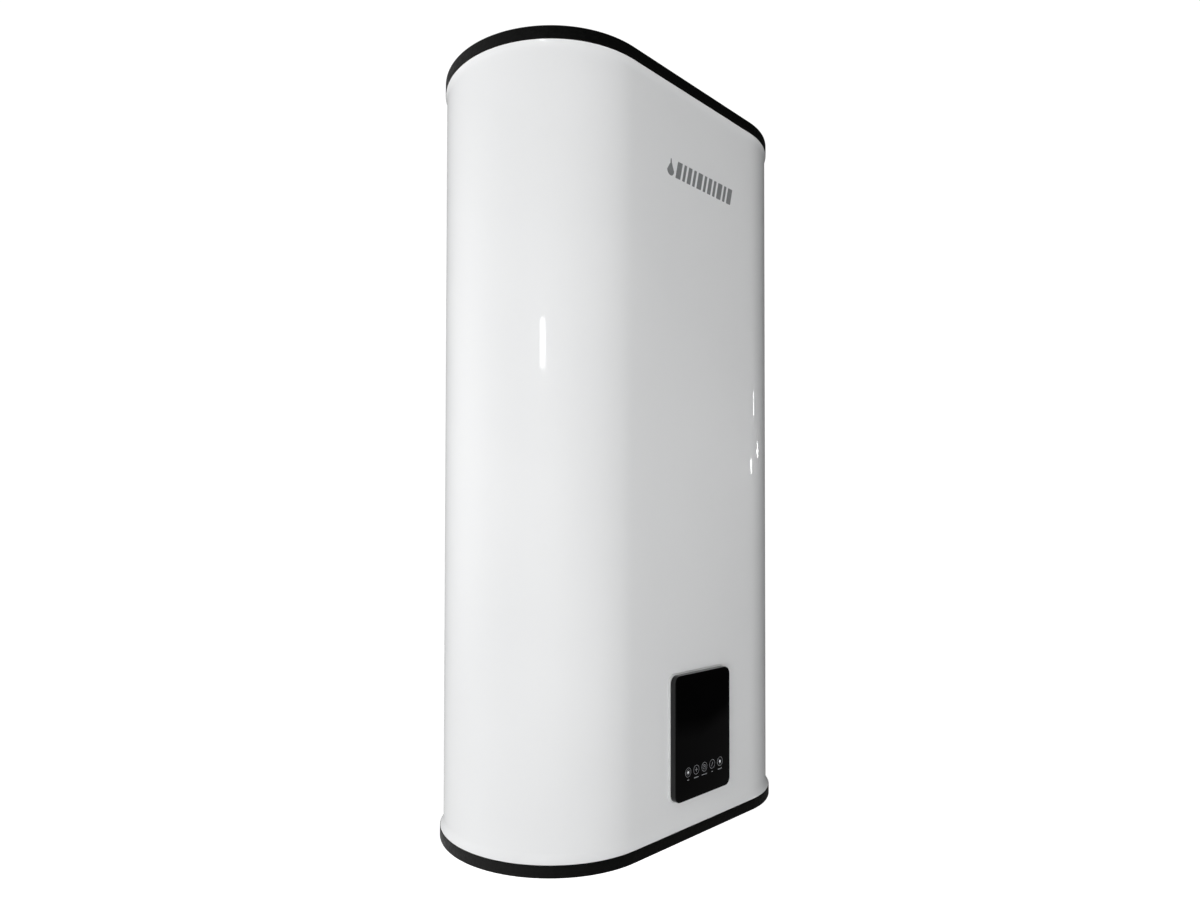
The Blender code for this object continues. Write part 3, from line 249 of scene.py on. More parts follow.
def rough_by(finish, pattern, smooth, rough):
    """Lets the roughness wander between two values with the pattern."""
    tree = finish.node_tree
    spread = add_node(
        tree, "ShaderNodeMapRange",
        {"Value": pattern, "From Min": 0.3, "From Max": 0.7, "To Min": smooth, "To Max": rough},
    )
    tree.links.new(spread.outputs["Result"], tree.nodes["Principled BSDF"].inputs["Roughness"])


def raise_by(finish, pattern, depth):
    """Raises the surface by up to depth metres where the pattern is high."""
    tree = finish.node_tree
    shader = tree.nodes["Principled BSDF"]
    relief = add_node(
        tree, "ShaderNodeBump", {"Height": pattern, "Distance": depth, "Strength": 1.0}
    )
    if shader.inputs["Normal"].is_linked:
        tree.links.new(shader.inputs["Normal"].links[0].from_socket, relief.inputs["Normal"])
    tree.links.new(relief.outputs["Normal"], shader.inputs["Normal"])


def paint(finish, *names):
    """Gives CAD nodes their finish through their objects' own slots."""
    for name in names:
        slot = nodes[name].material_slots[0]
        slot.link = "OBJECT"
        slot.material = finish


stainless = new_finish("rolled_stainless", Metallic=1.0)
colour_by(stainless, noise(stainless, 0.004, 4, (1, 1, 0.04)), STEEL_DARK, STEEL_LIGHT)
rough_by(stainless, noise(stainless, 0.05), 0.28, 0.42)
raise_by(stainless, noise(stainless, 0.0012, 2, (1, 1, 0.03)), 0.00004)
paint(
    stainless, "left_tank_barrel", "left_tank_bottom_dome", "left_tank_top_dome",
    "right_tank_barrel", "right_tank_bottom_dome", "right_tank_top_dome", "transfer_pipe",
)


# ---- Flanges, gaskets, elements and rods ----------------------------------------------------
# Each tank's neck is closed by a plated steel flange on a rubber gasket, held by four nuts.
# It carries a copper heating element, a magnesium rod and a copper pocket for the sensor.
ZINC_LIGHT, ZINC_DARK = (0.66, 0.67, 0.68), (0.46, 0.475, 0.49)

zinc = new_finish("plated_steel", Metallic=1.0)
colour_by(zinc, cells(zinc, 0.006, "Color"), ZINC_DARK, ZINC_LIGHT, 0.0, 1.0)
rough_by(zinc, noise(zinc, 0.009), 0.30, 0.50)
raise_by(zinc, noise(zinc, 0.0008, 2), 0.00003)

copper = new_finish("drawn_copper", Metallic=1.0)
colour_by(copper, noise(copper, 0.012), (0.42, 0.17, 0.09), (0.75, 0.36, 0.22))
rough_by(copper, noise(copper, 0.006), 0.24, 0.45)
raise_by(copper, noise(copper, 0.0010, 2), 0.00003)

magnesium = new_finish("cast_magnesium", Metallic=1.0)
colour_by(magnesium, noise(magnesium, 0.004), (0.40, 0.40, 0.39), (0.62, 0.62, 0.60))
rough_by(magnesium, noise(magnesium, 0.003), 0.50, 0.72)
raise_by(magnesium, noise(magnesium, 0.0015, 4), 0.00015)

rubber = new_finish("black_rubber", Specular_IOR_Level=0.35)
colour_by(rubber, noise(rubber, 0.008, 5), (0.012, 0.012, 0.013), (0.030, 0.030, 0.032))
rough_by(rubber, noise(rubber, 0.004), 0.62, 0.80)
raise_by(rubber, noise(rubber, 0.0006, 2), 0.00004)

for tank in ("left", "right"):
    paint(zinc, f"{tank}_flange", *(f"{tank}_flange_nut_{number}" for number in (1, 2, 3, 4)))
    paint(rubber, f"{tank}_flange_gasket")
    paint(copper, f"{tank}_heating_element", f"{tank}_thermowell")
    paint(magnesium, f"{tank}_anode_rod")
paint(copper, "capillary_sensor")
paint(zinc, "upper_tie_plate", "lower_tie_plate")


grey_plastic = new_finish("grey_tray_plastic", Specular_IOR_Level=0.4)
colour_by(grey_plastic, noise(grey_plastic, 0.03), (0.19, 0.195, 0.20), (0.25, 0.255, 0.26))
rough_by(grey_plastic, noise(grey_plastic, 0.002), 0.42, 0.55)
raise_by(grey_plastic, noise(grey_plastic, 0.0007, 2), 0.00003)

board_green = new_finish("circuit_board", Coat_Weight=0.3, Coat_Roughness=0.2)
colour_by(
    board_green, cells(board_green, 0.0022, distance="CHEBYCHEV"),
    (0.010, 0.060, 0.028), (0.028, 0.155, 0.070), 0.25, 0.45,
)
rough_by(board_green, noise(board_green, 0.002), 0.32, 0.46)
raise_by(board_green, cells(board_green, 0.0022, distance="CHEBYCHEV"), 0.00003)

red_plastic = new_finish("red_plastic", Coat_Weight=0.15, Coat_Roughness=0.2)
colour_by(red_plastic, noise(red_plastic, 0.006), (0.46, 0.018, 0.014), (0.60, 0.030, 0.022))
rough_by(red_plastic, noise(red_plastic, 0.003), 0.32, 0.44)
raise_by(red_plastic, noise(red_plastic, 0.0006, 2), 0.00002)

paint(rubber, "thermal_cutout", "display_cable")
paint(red_plastic, "reset_button")
paint(zinc, "reset_spring")
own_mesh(nodes["reset_spring"])
paint(grey_plastic, "power_tray", "panel_box")
paint(board_green, "power_board", "display_board")


# ---- Foam ---------------------------------------------------------------------------------
# Rigid pale foam is poured round the tanks and fills the jacket from wall to wall.
foam = new_finish("rigid_foam", Specular_IOR_Level=0.2)
colour_by(foam, cells(foam, 0.0022), (0.62, 0.55, 0.36), (0.80, 0.74, 0.55), 0.1, 0.6)
rough_by(foam, noise(foam, 0.01), 0.82, 0.94)
raise_by(foam, cells(foam, 0.0022), 0.0004)
paint(foam, "foam_insulation")


# ---- Outer jacket ---------------------------------------------------------------------------
# One sheet of 0.6 mm steel, rolled to straight sides with round ends, curled outwards at both
# edges, and powder coated white. A window low on the front lets the panel's box through.
REACH = 0.110                   # from the middle to the centre of each round end
MIDDLE = -0.139                 # the depth that both ends are centred on
ROUND = 0.125                   # radius of the ends
ROUND_STEPS = 96
FRONT, BACK = MIDDLE - ROUND, MIDDLE + ROUND
SHEET = 0.0006
JACKET_LOW, JACKET_HIGH = -0.6466, 0.1906
CURL_TALL, CURL_STEPS = 0.010, 8
CURL_LOW_OUT, CURL_HIGH_OUT = 0.0035, 0.0014
JOIN_BAND = 0.002               # narrow strip that keeps the flat side's shading flat
BOX_SLACK, BOX_CORNER = 0.0006, 0.003


def only(piece):
    """Makes one piece the only selected one."""
    bpy.ops.object.select_all(action="DESELECT")
    piece.select_set(True)
    bpy.context.view_layer.objects.active = piece


def open_mesh(piece):
    """Opens a piece for editing with all its corners selected."""
    only(piece)
    bpy.ops.object.mode_set(mode="EDIT")
    bpy.ops.mesh.select_mode(type="VERT")
    bpy.ops.mesh.select_all(action="SELECT")


def close_mesh():
    bpy.ops.object.mode_set(mode="OBJECT")


def pick(kind, wanted):
    """In the open mesh, selects the corners, edges or faces that are wanted."""
    bpy.ops.mesh.select_mode(type=kind)
    bpy.ops.mesh.select_all(action="DESELECT")
    shape = bmesh.from_edit_mesh(bpy.context.edit_object.data)
    shape.normal_update()
    for part in {"VERT": shape.verts, "EDGE": shape.edges, "FACE": shape.faces}[kind]:
        if wanted(part):
            part.select_set(True)
    shape.select_flush_mode()
    bmesh.update_edit_mesh(bpy.context.edit_object.data)


def middle_of(part):
    """Where a face or an edge has its middle."""
    return sum((corner.co for corner in part.verts), Vector()) / len(part.verts)


def draw_line(points, closed=False):
    """Draws an outline, corner by corner, as a mesh of edges."""
    points = [Vector(point) for point in points]
    if closed:
        points.append(points[0])
    bpy.ops.object.select_all(action="DESELECT")
    bpy.ops.mesh.primitive_plane_add(size=0.001, location=points[0])
    line = bpy.context.active_object
    open_mesh(line)
    bpy.ops.mesh.merge(type="CENTER")
    for here, there in zip(points, points[1:]):
        bpy.ops.mesh.extrude_vertices_move(TRANSFORM_OT_translate={"value": there - here})
    bpy.ops.mesh.select_all(action="SELECT")
    bpy.ops.mesh.remove_doubles(threshold=1e-6)
    close_mesh()
    bpy.ops.object.transform_apply(location=True, rotation=False, scale=False)
    return line


def tidy_shell():
    """Merges doubled corners of the open mesh, turns its faces outwards and closes it."""
    bpy.ops.mesh.select_mode(type="VERT")
    bpy.ops.mesh.select_all(action="SELECT")
    bpy.ops.mesh.remove_doubles(threshold=1e-6)
    bpy.ops.mesh.dissolve_degenerate(threshold=1e-7)
    bpy.ops.mesh.select_all(action="SELECT")
    bpy.ops.mesh.normals_make_consistent(inside=False)
    close_mesh()


def apply_modifier(piece, kind, **settings):
    """Adds one modifier to a piece, sets it and makes it part of the mesh."""
    only(piece)
    modifier = piece.modifiers.new(kind.lower(), kind)
    for setting, value in settings.items():
        setattr(modifier, setting, value)
    bpy.ops.object.modifier_apply(modifier=modifier.name)


def obround(rings, closed=False, reach=REACH, depth=MIDDLE, steps=ROUND_STEPS):
    """Spins rings of (radius, height) round the right end, runs them in to the middle
    and mirrors them."""
    piece = draw_line([(reach, depth - radius, height) for radius, height in rings], closed)
    open_mesh(piece)
    bpy.ops.mesh.spin(steps=steps, angle=math.pi, center=(reach, depth, 0), axis=(0, 0, -1))
    bpy.ops.mesh.select_all(action="SELECT")
    bpy.ops.mesh.remove_doubles(threshold=1e-6)
    pick("EDGE", lambda edge: not edge.is_manifold
         and all(abs(corner.co.x - reach) < 1e-6 for corner in edge.verts))
    for inwards in (JOIN_BAND, reach - JOIN_BAND):
        bpy.ops.mesh.extrude_edges_move(TRANSFORM_OT_translate={"value": (-inwards, 0, 0)})
    close_mesh()
    apply_modifier(piece, "MIRROR", merge_threshold=1e-5)
    open_mesh(piece)
    tidy_shell()
    return piece


def cut(piece, *tools, operation="DIFFERENCE"):
    """Cuts tools out of a piece, or keeps what is inside them, and removes them."""
    for tool in tools:
        apply_modifier(piece, "BOOLEAN", operation=operation, solver="EXACT", object=tool)
        bpy.data.objects.remove(tool, do_unlink=True)


def block(low, high):
    """A plain block from one corner to the other, to be shaped further."""
    low, high = Vector(low), Vector(high)
    bpy.ops.object.select_all(action="DESELECT")
    bpy.ops.mesh.primitive_cube_add(size=1.0, location=(low + high) / 2, scale=high - low)
    made = bpy.context.active_object
    bpy.ops.object.transform_apply(location=True, rotation=True, scale=True)
    return made


def round_uprights(piece, radius, segments, axis=1):
    """Rounds the edges that run along an axis."""
    def upright(edge):
        along = (edge.verts[0].co - edge.verts[1].co).normalized()
        return abs(along[axis]) > 0.99

    open_mesh(piece)
    pick("EDGE", upright)
    bpy.ops.mesh.bevel(offset=radius, segments=segments, affect="EDGES")
    close_mesh()


def box_window(near, far):
    """An opening that lets the panel's box through, from one depth to another."""
    low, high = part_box("panel_box")
    window = block(
        (low.x - BOX_SLACK, near, low.z - BOX_SLACK), (high.x + BOX_SLACK, far, high.z + BOX_SLACK)
    )
    round_uprights(window, BOX_CORNER, 5)
    return window


def finish_piece(piece, name, finish, slot, *stands_for, crease=30):
    """Names, shades and finishes a piece, ties it to its body and hides the CAD nodes it stands
    for.
    """
    only(piece)
    bpy.ops.object.transform_apply(location=True, rotation=True, scale=True)
    bpy.ops.object.shade_smooth_by_angle(angle=math.radians(crease))
    piece.name = piece.data.name = name
    piece.data.materials.clear()
    piece.data.materials.append(finish)
    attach(piece, "heater")
    if stands_for:
        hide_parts(*stands_for)


enamel = new_finish(
    "white_powder_coat", Coat_Weight=0.55, Coat_Roughness=0.045, Coat_IOR=1.5,
    Specular_IOR_Level=0.45,
)
colour_by(enamel, noise(enamel, 0.22, 2), (0.814, 0.821, 0.827), (0.840, 0.847, 0.852))
rough_by(enamel, noise(enamel, 0.05), 0.36, 0.44)
raise_by(enamel, noise(enamel, 0.0030, 2), 0.000016)
raise_by(enamel, noise(enamel, 0.09, 1), 0.00010)


def curl_rings(edge, inwards, out, depth=0.0):
    """The curl at one edge of the jacket: rings that swing outwards towards the edge."""
    return [
        (ROUND - depth + out * (1 - step / CURL_STEPS) ** 2,
         edge + inwards * CURL_TALL * step / CURL_STEPS)
        for step in range(CURL_STEPS + 1)
    ]


def wrap_rings(depth):
    """One side of the sheet, from the lower edge to the upper one."""
    low = curl_rings(JACKET_LOW, 1, CURL_LOW_OUT, depth)
    high = curl_rings(JACKET_HIGH, -1, CURL_HIGH_OUT, depth)
    return low + high[::-1]


high_lip = (ROUND + CURL_HIGH_OUT - SHEET / 2, JACKET_HIGH + 0.0002)
low_lip = (ROUND + CURL_LOW_OUT - SHEET / 2, JACKET_LOW - 0.0002)
jacket = obround(wrap_rings(0) + [high_lip] + wrap_rings(SHEET)[::-1] + [low_lip], closed=True)
cut(jacket, box_window(FRONT - 0.01, FRONT + 0.01))
finish_piece(jacket, "jacket_sheet", enamel, "white_enamel", "outer_jacket", crease=50)


# ---- Back seam ------------------------------------------------------------------------------
# The sheet's two ends lap down the middle of the back, pressed flat and clinched every 60 mm.
SEAM_WIDE, SEAM_BACK = 0.014, BACK + SHEET
CLINCHES, CLINCH_PITCH = 13, 0.060

seam = block((-SEAM_WIDE / 2, BACK, JACKET_LOW + CURL_TALL),
             (SEAM_WIDE / 2, SEAM_BACK, JACKET_HIGH - CURL_TALL))
open_mesh(seam)
pick("EDGE", lambda edge: middle_of(edge).y > BACK + SHEET * 0.9)
bpy.ops.mesh.bevel(offset=0.0004, segments=3, affect="EDGES")
close_mesh()
finish_piece(seam, "jacket_seam", enamel, "white_enamel")


def turned(rings, place, axis="Z", steps=48, closed=False):
    """Spins rings of (radius, distance along the axis) all the way round."""
    place = Vector(place)
    if axis == "Z":
        line = [place + Vector((radius, 0, along)) for radius, along in rings]
        way = (0, 0, 1)
    else:
        line = [place + Vector((radius, along, 0)) for radius, along in rings]
        way = (0, 1, 0)
    piece = draw_line(line, closed)
    open_mesh(piece)
    bpy.ops.mesh.spin(steps=steps, angle=2 * math.pi, center=place, axis=way)
    tidy_shell()
    return piece


def copy_to(piece, name, shift):
    """A copy with its own mesh, moved by shift, on the same body and slot."""
    only(piece)
    bpy.ops.object.duplicate(linked=False)
    twin = bpy.context.active_object
    bpy.ops.transform.translate(value=shift)
    bpy.ops.object.transform_apply(location=True, rotation=True, scale=True)
    twin.name = twin.data.name = name
    return twin


def join_up(pieces):
    """Makes one piece of several."""
    only(pieces[0])
    for piece in pieces:
        piece.select_set(True)
    bpy.ops.object.join()
    return pieces[0]


clinch = turned(
    [(0.0026, 0.0), (0.0024, 0.0004), (0.0019, 0.0007), (0.0010, 0.0009), (0, 0.0010)],
    (0, SEAM_BACK, JACKET_LOW + 0.045), "Y", 20,
)
clinches = [clinch] + [
    copy_to(clinch, f"clinch_{number}", (0, 0, number * CLINCH_PITCH))
    for number in range(1, CLINCHES)
]
finish_piece(join_up(clinches), "seam_clinches", enamel, "white_enamel")


# ---- Black caps -----------------------------------------------------------------------------
# Two moulded covers of black plastic with a fine grain. Each stands inside the jacket on a thin
# wall, and its own rim shows past the sheet's edge. The lower one is open for the service cover.
CAP_TOP, CAP_BOTTOM = 0.205, -0.660
CAP_LOW_OUT, CAP_HIGH_OUT = 0.0040, 0.0018
EDGE_ROUND = 0.0015
TOP_LEDGE, BOTTOM_LEDGE = 0.1912, -0.6472
STAND_OUT = ROUND - 0.0012      # the wall that stands inside the sheet
CAP_WALL = 0.003
STAND_TALL = 0.013
CAP_FLOOR = 0.005
FIELD_DROP = 0.0009             # how far the shallow field on top is sunk
FIELD_EDGE, GROOVE = ROUND - 0.017, 0.110

cap_plastic = new_finish("grained_black_plastic", Specular_IOR_Level=0.35)
colour_by(
    cap_plastic, noise(cap_plastic, 0.0016, 4), (0.0012, 0.0013, 0.0013), (0.0042, 0.0042, 0.0040)
)
rough_by(cap_plastic, noise(cap_plastic, 0.0050, 4), 0.30, 0.52)
raise_by(cap_plastic, noise(cap_plastic, 0.0011, 3), 0.00010)
raise_by(cap_plastic, noise(cap_plastic, 0.0036, 2), 0.00034)


def rounded_rim(out, height, down, steps=8):
    """The rim's quarter round, from the flat face out to the side."""
    centre = ROUND + out - EDGE_ROUND
    return [
        (centre + EDGE_ROUND * math.sin(turn), height - down * EDGE_ROUND * (1 - math.cos(turn)))
        for turn in (step / steps * math.pi / 2 for step in range(steps + 1))
    ]


top_cap = obround(
    [(0, CAP_TOP - FIELD_DROP), (FIELD_EDGE - 0.0012, CAP_TOP - FIELD_DROP), (FIELD_EDGE, CAP_TOP)]
    + rounded_rim(CAP_HIGH_OUT, CAP_TOP, 1)
    + [(ROUND + CAP_HIGH_OUT, TOP_LEDGE + 0.0002), (ROUND + CAP_HIGH_OUT - 0.0002, TOP_LEDGE),
       (STAND_OUT, TOP_LEDGE), (STAND_OUT, TOP_LEDGE - STAND_TALL),
       (STAND_OUT - CAP_WALL, TOP_LEDGE - STAND_TALL), (STAND_OUT - CAP_WALL, 0.2016),
       (0, 0.2016)]
)
finish_piece(top_cap, "top_cover_cap", cap_plastic, "black_cap_plastic", "top_cap", crease=40)

bottom_cap = obround(
    [(0, CAP_BOTTOM), (GROOVE, CAP_BOTTOM), (GROOVE + 0.0004, CAP_BOTTOM + 0.0008),
     (GROOVE + 0.0016, CAP_BOTTOM + 0.0008), (GROOVE + 0.0020, CAP_BOTTOM)]
    + rounded_rim(CAP_LOW_OUT, CAP_BOTTOM, -1)
    + [(ROUND + CAP_LOW_OUT, BOTTOM_LEDGE - 0.0002), (ROUND + CAP_LOW_OUT - 0.0002, BOTTOM_LEDGE),
       (STAND_OUT, BOTTOM_LEDGE), (STAND_OUT, BOTTOM_LEDGE + STAND_TALL),
       (STAND_OUT - CAP_WALL, BOTTOM_LEDGE + STAND_TALL),
       (STAND_OUT - CAP_WALL, CAP_BOTTOM + CAP_FLOOR), (0, CAP_BOTTOM + CAP_FLOOR)]
)
COVER_ROUND, COVER_REACH = 0.0414, 0.133
COVER_TOP = CAP_BOTTOM + 0.0024
PIPE_X, PIPE_Y = 0.065, -0.075
GLAND_Y = -0.067
PILOTS = ((-0.166, MIDDLE), (0.166, MIDDLE), (0, MIDDLE - 0.038), (0, MIDDLE + 0.038))
UNDER_CAP, IN_CAP = CAP_BOTTOM - 0.01, CAP_BOTTOM + 0.01


def pit(radius, low, high, reach):
    """A round-ended plug to cut a recess or an opening with."""
    return obround([(0, low), (radius, low), (radius, high), (0, high)], reach=reach, steps=48)


def plug(radius, low, high, place, axis="Z", steps=32):
    """A plain round plug between two distances along its axis, mostly to cut a hole with."""
    return turned([(0, low), (radius, low), (radius, high), (0, high)], place, axis, steps)


cut(
    bottom_cap,
    pit(COVER_ROUND + 0.0005, UNDER_CAP, COVER_TOP, COVER_REACH),
    pit(0.034, UNDER_CAP, CAP_BOTTOM + 0.02, 0.122),
    plug(0.0125, UNDER_CAP, IN_CAP, (-PIPE_X, PIPE_Y, 0)),
    plug(0.0125, UNDER_CAP, IN_CAP, (PIPE_X, PIPE_Y, 0)),
    plug(0.0088, UNDER_CAP, IN_CAP, (0, GLAND_Y, 0)),
    *(plug(0.0018, UNDER_CAP, IN_CAP, (x, y, 0), steps=12) for x, y in PILOTS),
)
finish_piece(bottom_cap, "bottom_cover_cap", cap_plastic, "black_cap_plastic", "bottom_cap",
             crease=40)


# ---- Service cover and its screws -------------------------------------------------------------
# A long black plate that drops into the lower cap's recess, flush with it, with a shallow
# field and four sunk screws of plated steel with cross slots.
COVER_LOW, COVER_HIGH = -0.6600, -0.6578
SCREW_SLOT, SLOT_LONG = 0.0007, 0.0034

service_plate = obround(
    [(0, COVER_LOW + 0.0005), (COVER_ROUND - 0.0108, COVER_LOW + 0.0005),
     (COVER_ROUND - 0.0102, COVER_LOW), (COVER_ROUND - 0.0005, COVER_LOW),
     (COVER_ROUND, COVER_LOW + 0.0005), (COVER_ROUND, COVER_HIGH), (0, COVER_HIGH)],
    reach=COVER_REACH, steps=48,
)
cut(
    service_plate,
    *(plug(0.0036, COVER_LOW - 0.005, COVER_LOW + 0.0012, (x, y, 0), steps=24)
      for x, y in PILOTS),
    *(plug(0.0018, COVER_LOW, COVER_HIGH + 0.005, (x, y, 0), steps=16) for x, y in PILOTS),
)
finish_piece(service_plate, "service_plate", cap_plastic, "black_cap_plastic", "service_cover",
             crease=40)

left, level = PILOTS[0]
screw = turned(
    [(0, 0), (0.0026, 0.00002), (0.0031, 0.0002), (0.0033, 0.0005), (0.0033, 0.0010),
     (0.0016, 0.0011), (0.0016, 0.0070), (0.0008, 0.0079), (0, 0.0080)],
    (left, level, COVER_LOW), "Z", 32,
)
for wide, deep in ((SLOT_LONG, SCREW_SLOT), (SCREW_SLOT, SLOT_LONG)):
    cut(screw, block((left - wide / 2, level - deep / 2, COVER_LOW - 0.001),
                     (left + wide / 2, level + deep / 2, COVER_LOW + 0.0008)))
finish_piece(screw, "cover_screw_left", zinc, "zinc_steel", "service_cover_screw_left")
for side, (x, y) in zip(("right", "front", "back"), PILOTS[1:]):
    twin = copy_to(screw, f"cover_screw_{side}", (x - left, y - level, 0))
    finish_piece(twin, f"cover_screw_{side}", zinc, "zinc_steel", f"service_cover_screw_{side}")


# ---- Water pipes, collars and gland ---------------------------------------------------------
# Two half-inch stainless pipes come out of the underside with a cut thread, the cold one
# through a blue collar and the hot one through a red one, with the mains gland between them.
PIPE_ROUND, PIPE_BORE = 0.0105, 0.0075
PIPE_LOW = -0.678
THREAD_PITCH, THREAD_DEEP, THREAD_TURNS = 0.0018, 0.0009, 6
NOTCHES, NOTCH_ROUND, NOTCH_OUT = 12, 0.0007, 0.0157


def thread_rings(low):
    """The saw-tooth outside of a cut thread, from its end upwards."""
    rings = [(PIPE_ROUND - 0.0012, low)]
    for turn in range(THREAD_TURNS):
        start = low + 0.0008 + turn * THREAD_PITCH
        rings += [(PIPE_ROUND - THREAD_DEEP, start), (PIPE_ROUND, start + THREAD_PITCH * 0.5)]
    end = low + 0.0008 + THREAD_TURNS * THREAD_PITCH
    return rings + [(PIPE_ROUND - THREAD_DEEP, end), (PIPE_ROUND, end + 0.0006)]


def make_pipe(x, top, shoulder=()):
    """A threaded pipe whose outside may step in at a shoulder below its top."""
    outside = thread_rings(PIPE_LOW) + list(shoulder)
    bore = [(PIPE_BORE, top), (PIPE_BORE, PIPE_LOW + 0.0006), (PIPE_BORE + 0.0006, PIPE_LOW)]
    return turned(
        outside + [(outside[-1][0], top)] + bore, (x, PIPE_Y, 0), "Z", 64, closed=True
    )


cold_top, hot_top = (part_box(pipe)[1].z for pipe in ("cold_inlet_pipe", "hot_outlet_pipe"))
cold_pipe = make_pipe(PIPE_X, cold_top)
finish_piece(cold_pipe, "cold_water_pipe", stainless, "stainless_steel", "cold_inlet_pipe")
hot_pipe = make_pipe(-PIPE_X, hot_top, [(PIPE_ROUND, -0.5401), (0.0095, -0.5399)])
finish_piece(hot_pipe, "hot_water_pipe", stainless, "stainless_steel", "hot_outlet_pipe")

blue_plastic = new_finish("blue_plastic", Coat_Weight=0.15, Coat_Roughness=0.2)
colour_by(blue_plastic, noise(blue_plastic, 0.006), (0.010, 0.060, 0.34), (0.020, 0.095, 0.46))
rough_by(blue_plastic, noise(blue_plastic, 0.003), 0.32, 0.44)
raise_by(blue_plastic, noise(blue_plastic, 0.0006, 2), 0.00002)

collar_rings = [
    (0.0109, -0.6550), (0.0121, -0.6550), (0.0121, -0.6603), (0.0152, -0.6603),
    (0.0155, -0.6606), (0.0155, -0.6628), (0.0151, -0.6635), (0.0143, -0.6639),
    (0.0118, -0.6640), (0.0109, -0.6634),
]


def make_collar(x):
    """A flanged sleeve with grip notches round its rim."""
    collar = turned(collar_rings, (x, PIPE_Y, 0), "Z", 72, closed=True)
    for number in range(NOTCHES):
        turn = 2 * math.pi * number / NOTCHES
        place = (x + NOTCH_OUT * math.cos(turn), PIPE_Y + NOTCH_OUT * math.sin(turn), 0)
        cut(collar, plug(NOTCH_ROUND, -0.67, -0.65, place, steps=10))
    return collar


finish_piece(make_collar(PIPE_X), "cold_ring", blue_plastic, "blue_plastic", "cold_collar")
finish_piece(make_collar(-PIPE_X), "hot_ring", red_plastic, "red_plastic", "hot_collar")

gland_rings = [
    (0.0050, -0.6470), (0.0125, -0.6470), (0.0125, -0.6547), (0.0085, -0.6547),
    (0.0085, -0.6603), (0.0122, -0.6603), (0.0125, -0.6606), (0.0125, -0.6636),
    (0.0119, -0.6641), (0.0094, -0.6645),
]
for rib in range(4):
    height = -0.6653 - rib * 0.0019
    wide = 0.0090 - rib * 0.0004
    gland_rings += [(wide, height), (wide, height - 0.0009), (wide - 0.0009, height - 0.0010),
                    (wide - 0.0009, height - 0.0018)]
gland_rings += [(0.0075, -0.6730), (0.0055, -0.6730), (0.0050, -0.6726)]
gland = turned(gland_rings, (0, GLAND_Y, 0), "Z", 48, closed=True)
finish_piece(gland, "mains_gland", rubber, "black_rubber", "cable_gland")


# ---- Wall brackets and bolts ----------------------------------------------------------------
# Two strips of 2.5 mm plated steel, folded into a flat hat. The feet are bolted to the tie
# plates through the jacket, and the raised part hangs on wall screws by its two keyholes.
STEEL = 0.0025
FOOT_Y, WALL_Y = BACK + 0.0003 + STEEL / 2, -STEEL / 2
STRIP_TALL = 0.060
KEYHOLE_X, KEYHOLE_RISE = 0.050, 0.008
KEYHOLE_WIDE, KEYHOLE_NARROW = 0.008, 0.0045    # radii of its two ends
BOLT_X, BOLT_HOLE = 0.096, 0.0034
HANGERS = (("upper", 0.0), ("lower", -0.480))


def make_bracket(middle):
    """Draws the hat's outline, pulls it to a strip, rounds its corners and gives it steel."""
    half = [(0.0755, WALL_Y), (0.0765, WALL_Y - 0.0004), (0.0833, FOOT_Y + 0.0004),
            (0.0845, FOOT_Y), (0.1080, FOOT_Y)]
    low = middle - STRIP_TALL / 2
    line = [(-x, y, low) for x, y in reversed(half)] + [(x, y, low) for x, y in half]
    strip = draw_line(line)
    open_mesh(strip)
    bpy.ops.mesh.extrude_edges_move(TRANSFORM_OT_translate={"value": (0, 0, STRIP_TALL)})
    pick("VERT", lambda corner: abs(corner.co.x) > 0.1079)
    bpy.ops.mesh.bevel(offset=0.008, segments=6, affect="VERTICES")
    close_mesh()
    apply_modifier(strip, "SOLIDIFY", thickness=STEEL, offset=0, use_even_offset=True)
    open_mesh(strip)
    tidy_shell()
    for x in (-KEYHOLE_X, KEYHOLE_X):
        narrow = block((x - KEYHOLE_NARROW, -0.02, middle - KEYHOLE_RISE),
                       (x + KEYHOLE_NARROW, 0.01, middle + KEYHOLE_RISE))
        cut(
            strip, narrow,
            plug(KEYHOLE_WIDE, -0.02, 0.01, (x, 0, middle - KEYHOLE_RISE), "Y", 40),
            plug(KEYHOLE_NARROW, -0.0201, 0.0101, (x, 0, middle + KEYHOLE_RISE), "Y", 32),
        )
    for x in (-BOLT_X, BOLT_X):
        cut(strip, plug(BOLT_HOLE, -0.02, 0.01, (x, 0, middle), "Y", 24))
    apply_modifier(
        strip, "BEVEL", width=0.0003, segments=2, limit_method="ANGLE",
        angle_limit=math.radians(50), use_clamp_overlap=True,
    )
    return strip


for level, middle in HANGERS:
    finish_piece(make_bracket(middle), f"{level}_hanger", zinc, "zinc_steel", f"{level}_bracket")

HEAD_BACK, HEAD_FACE, SHANK_END = -0.0109, -0.0056, -0.0309
SHANK_ROUND = 0.0030


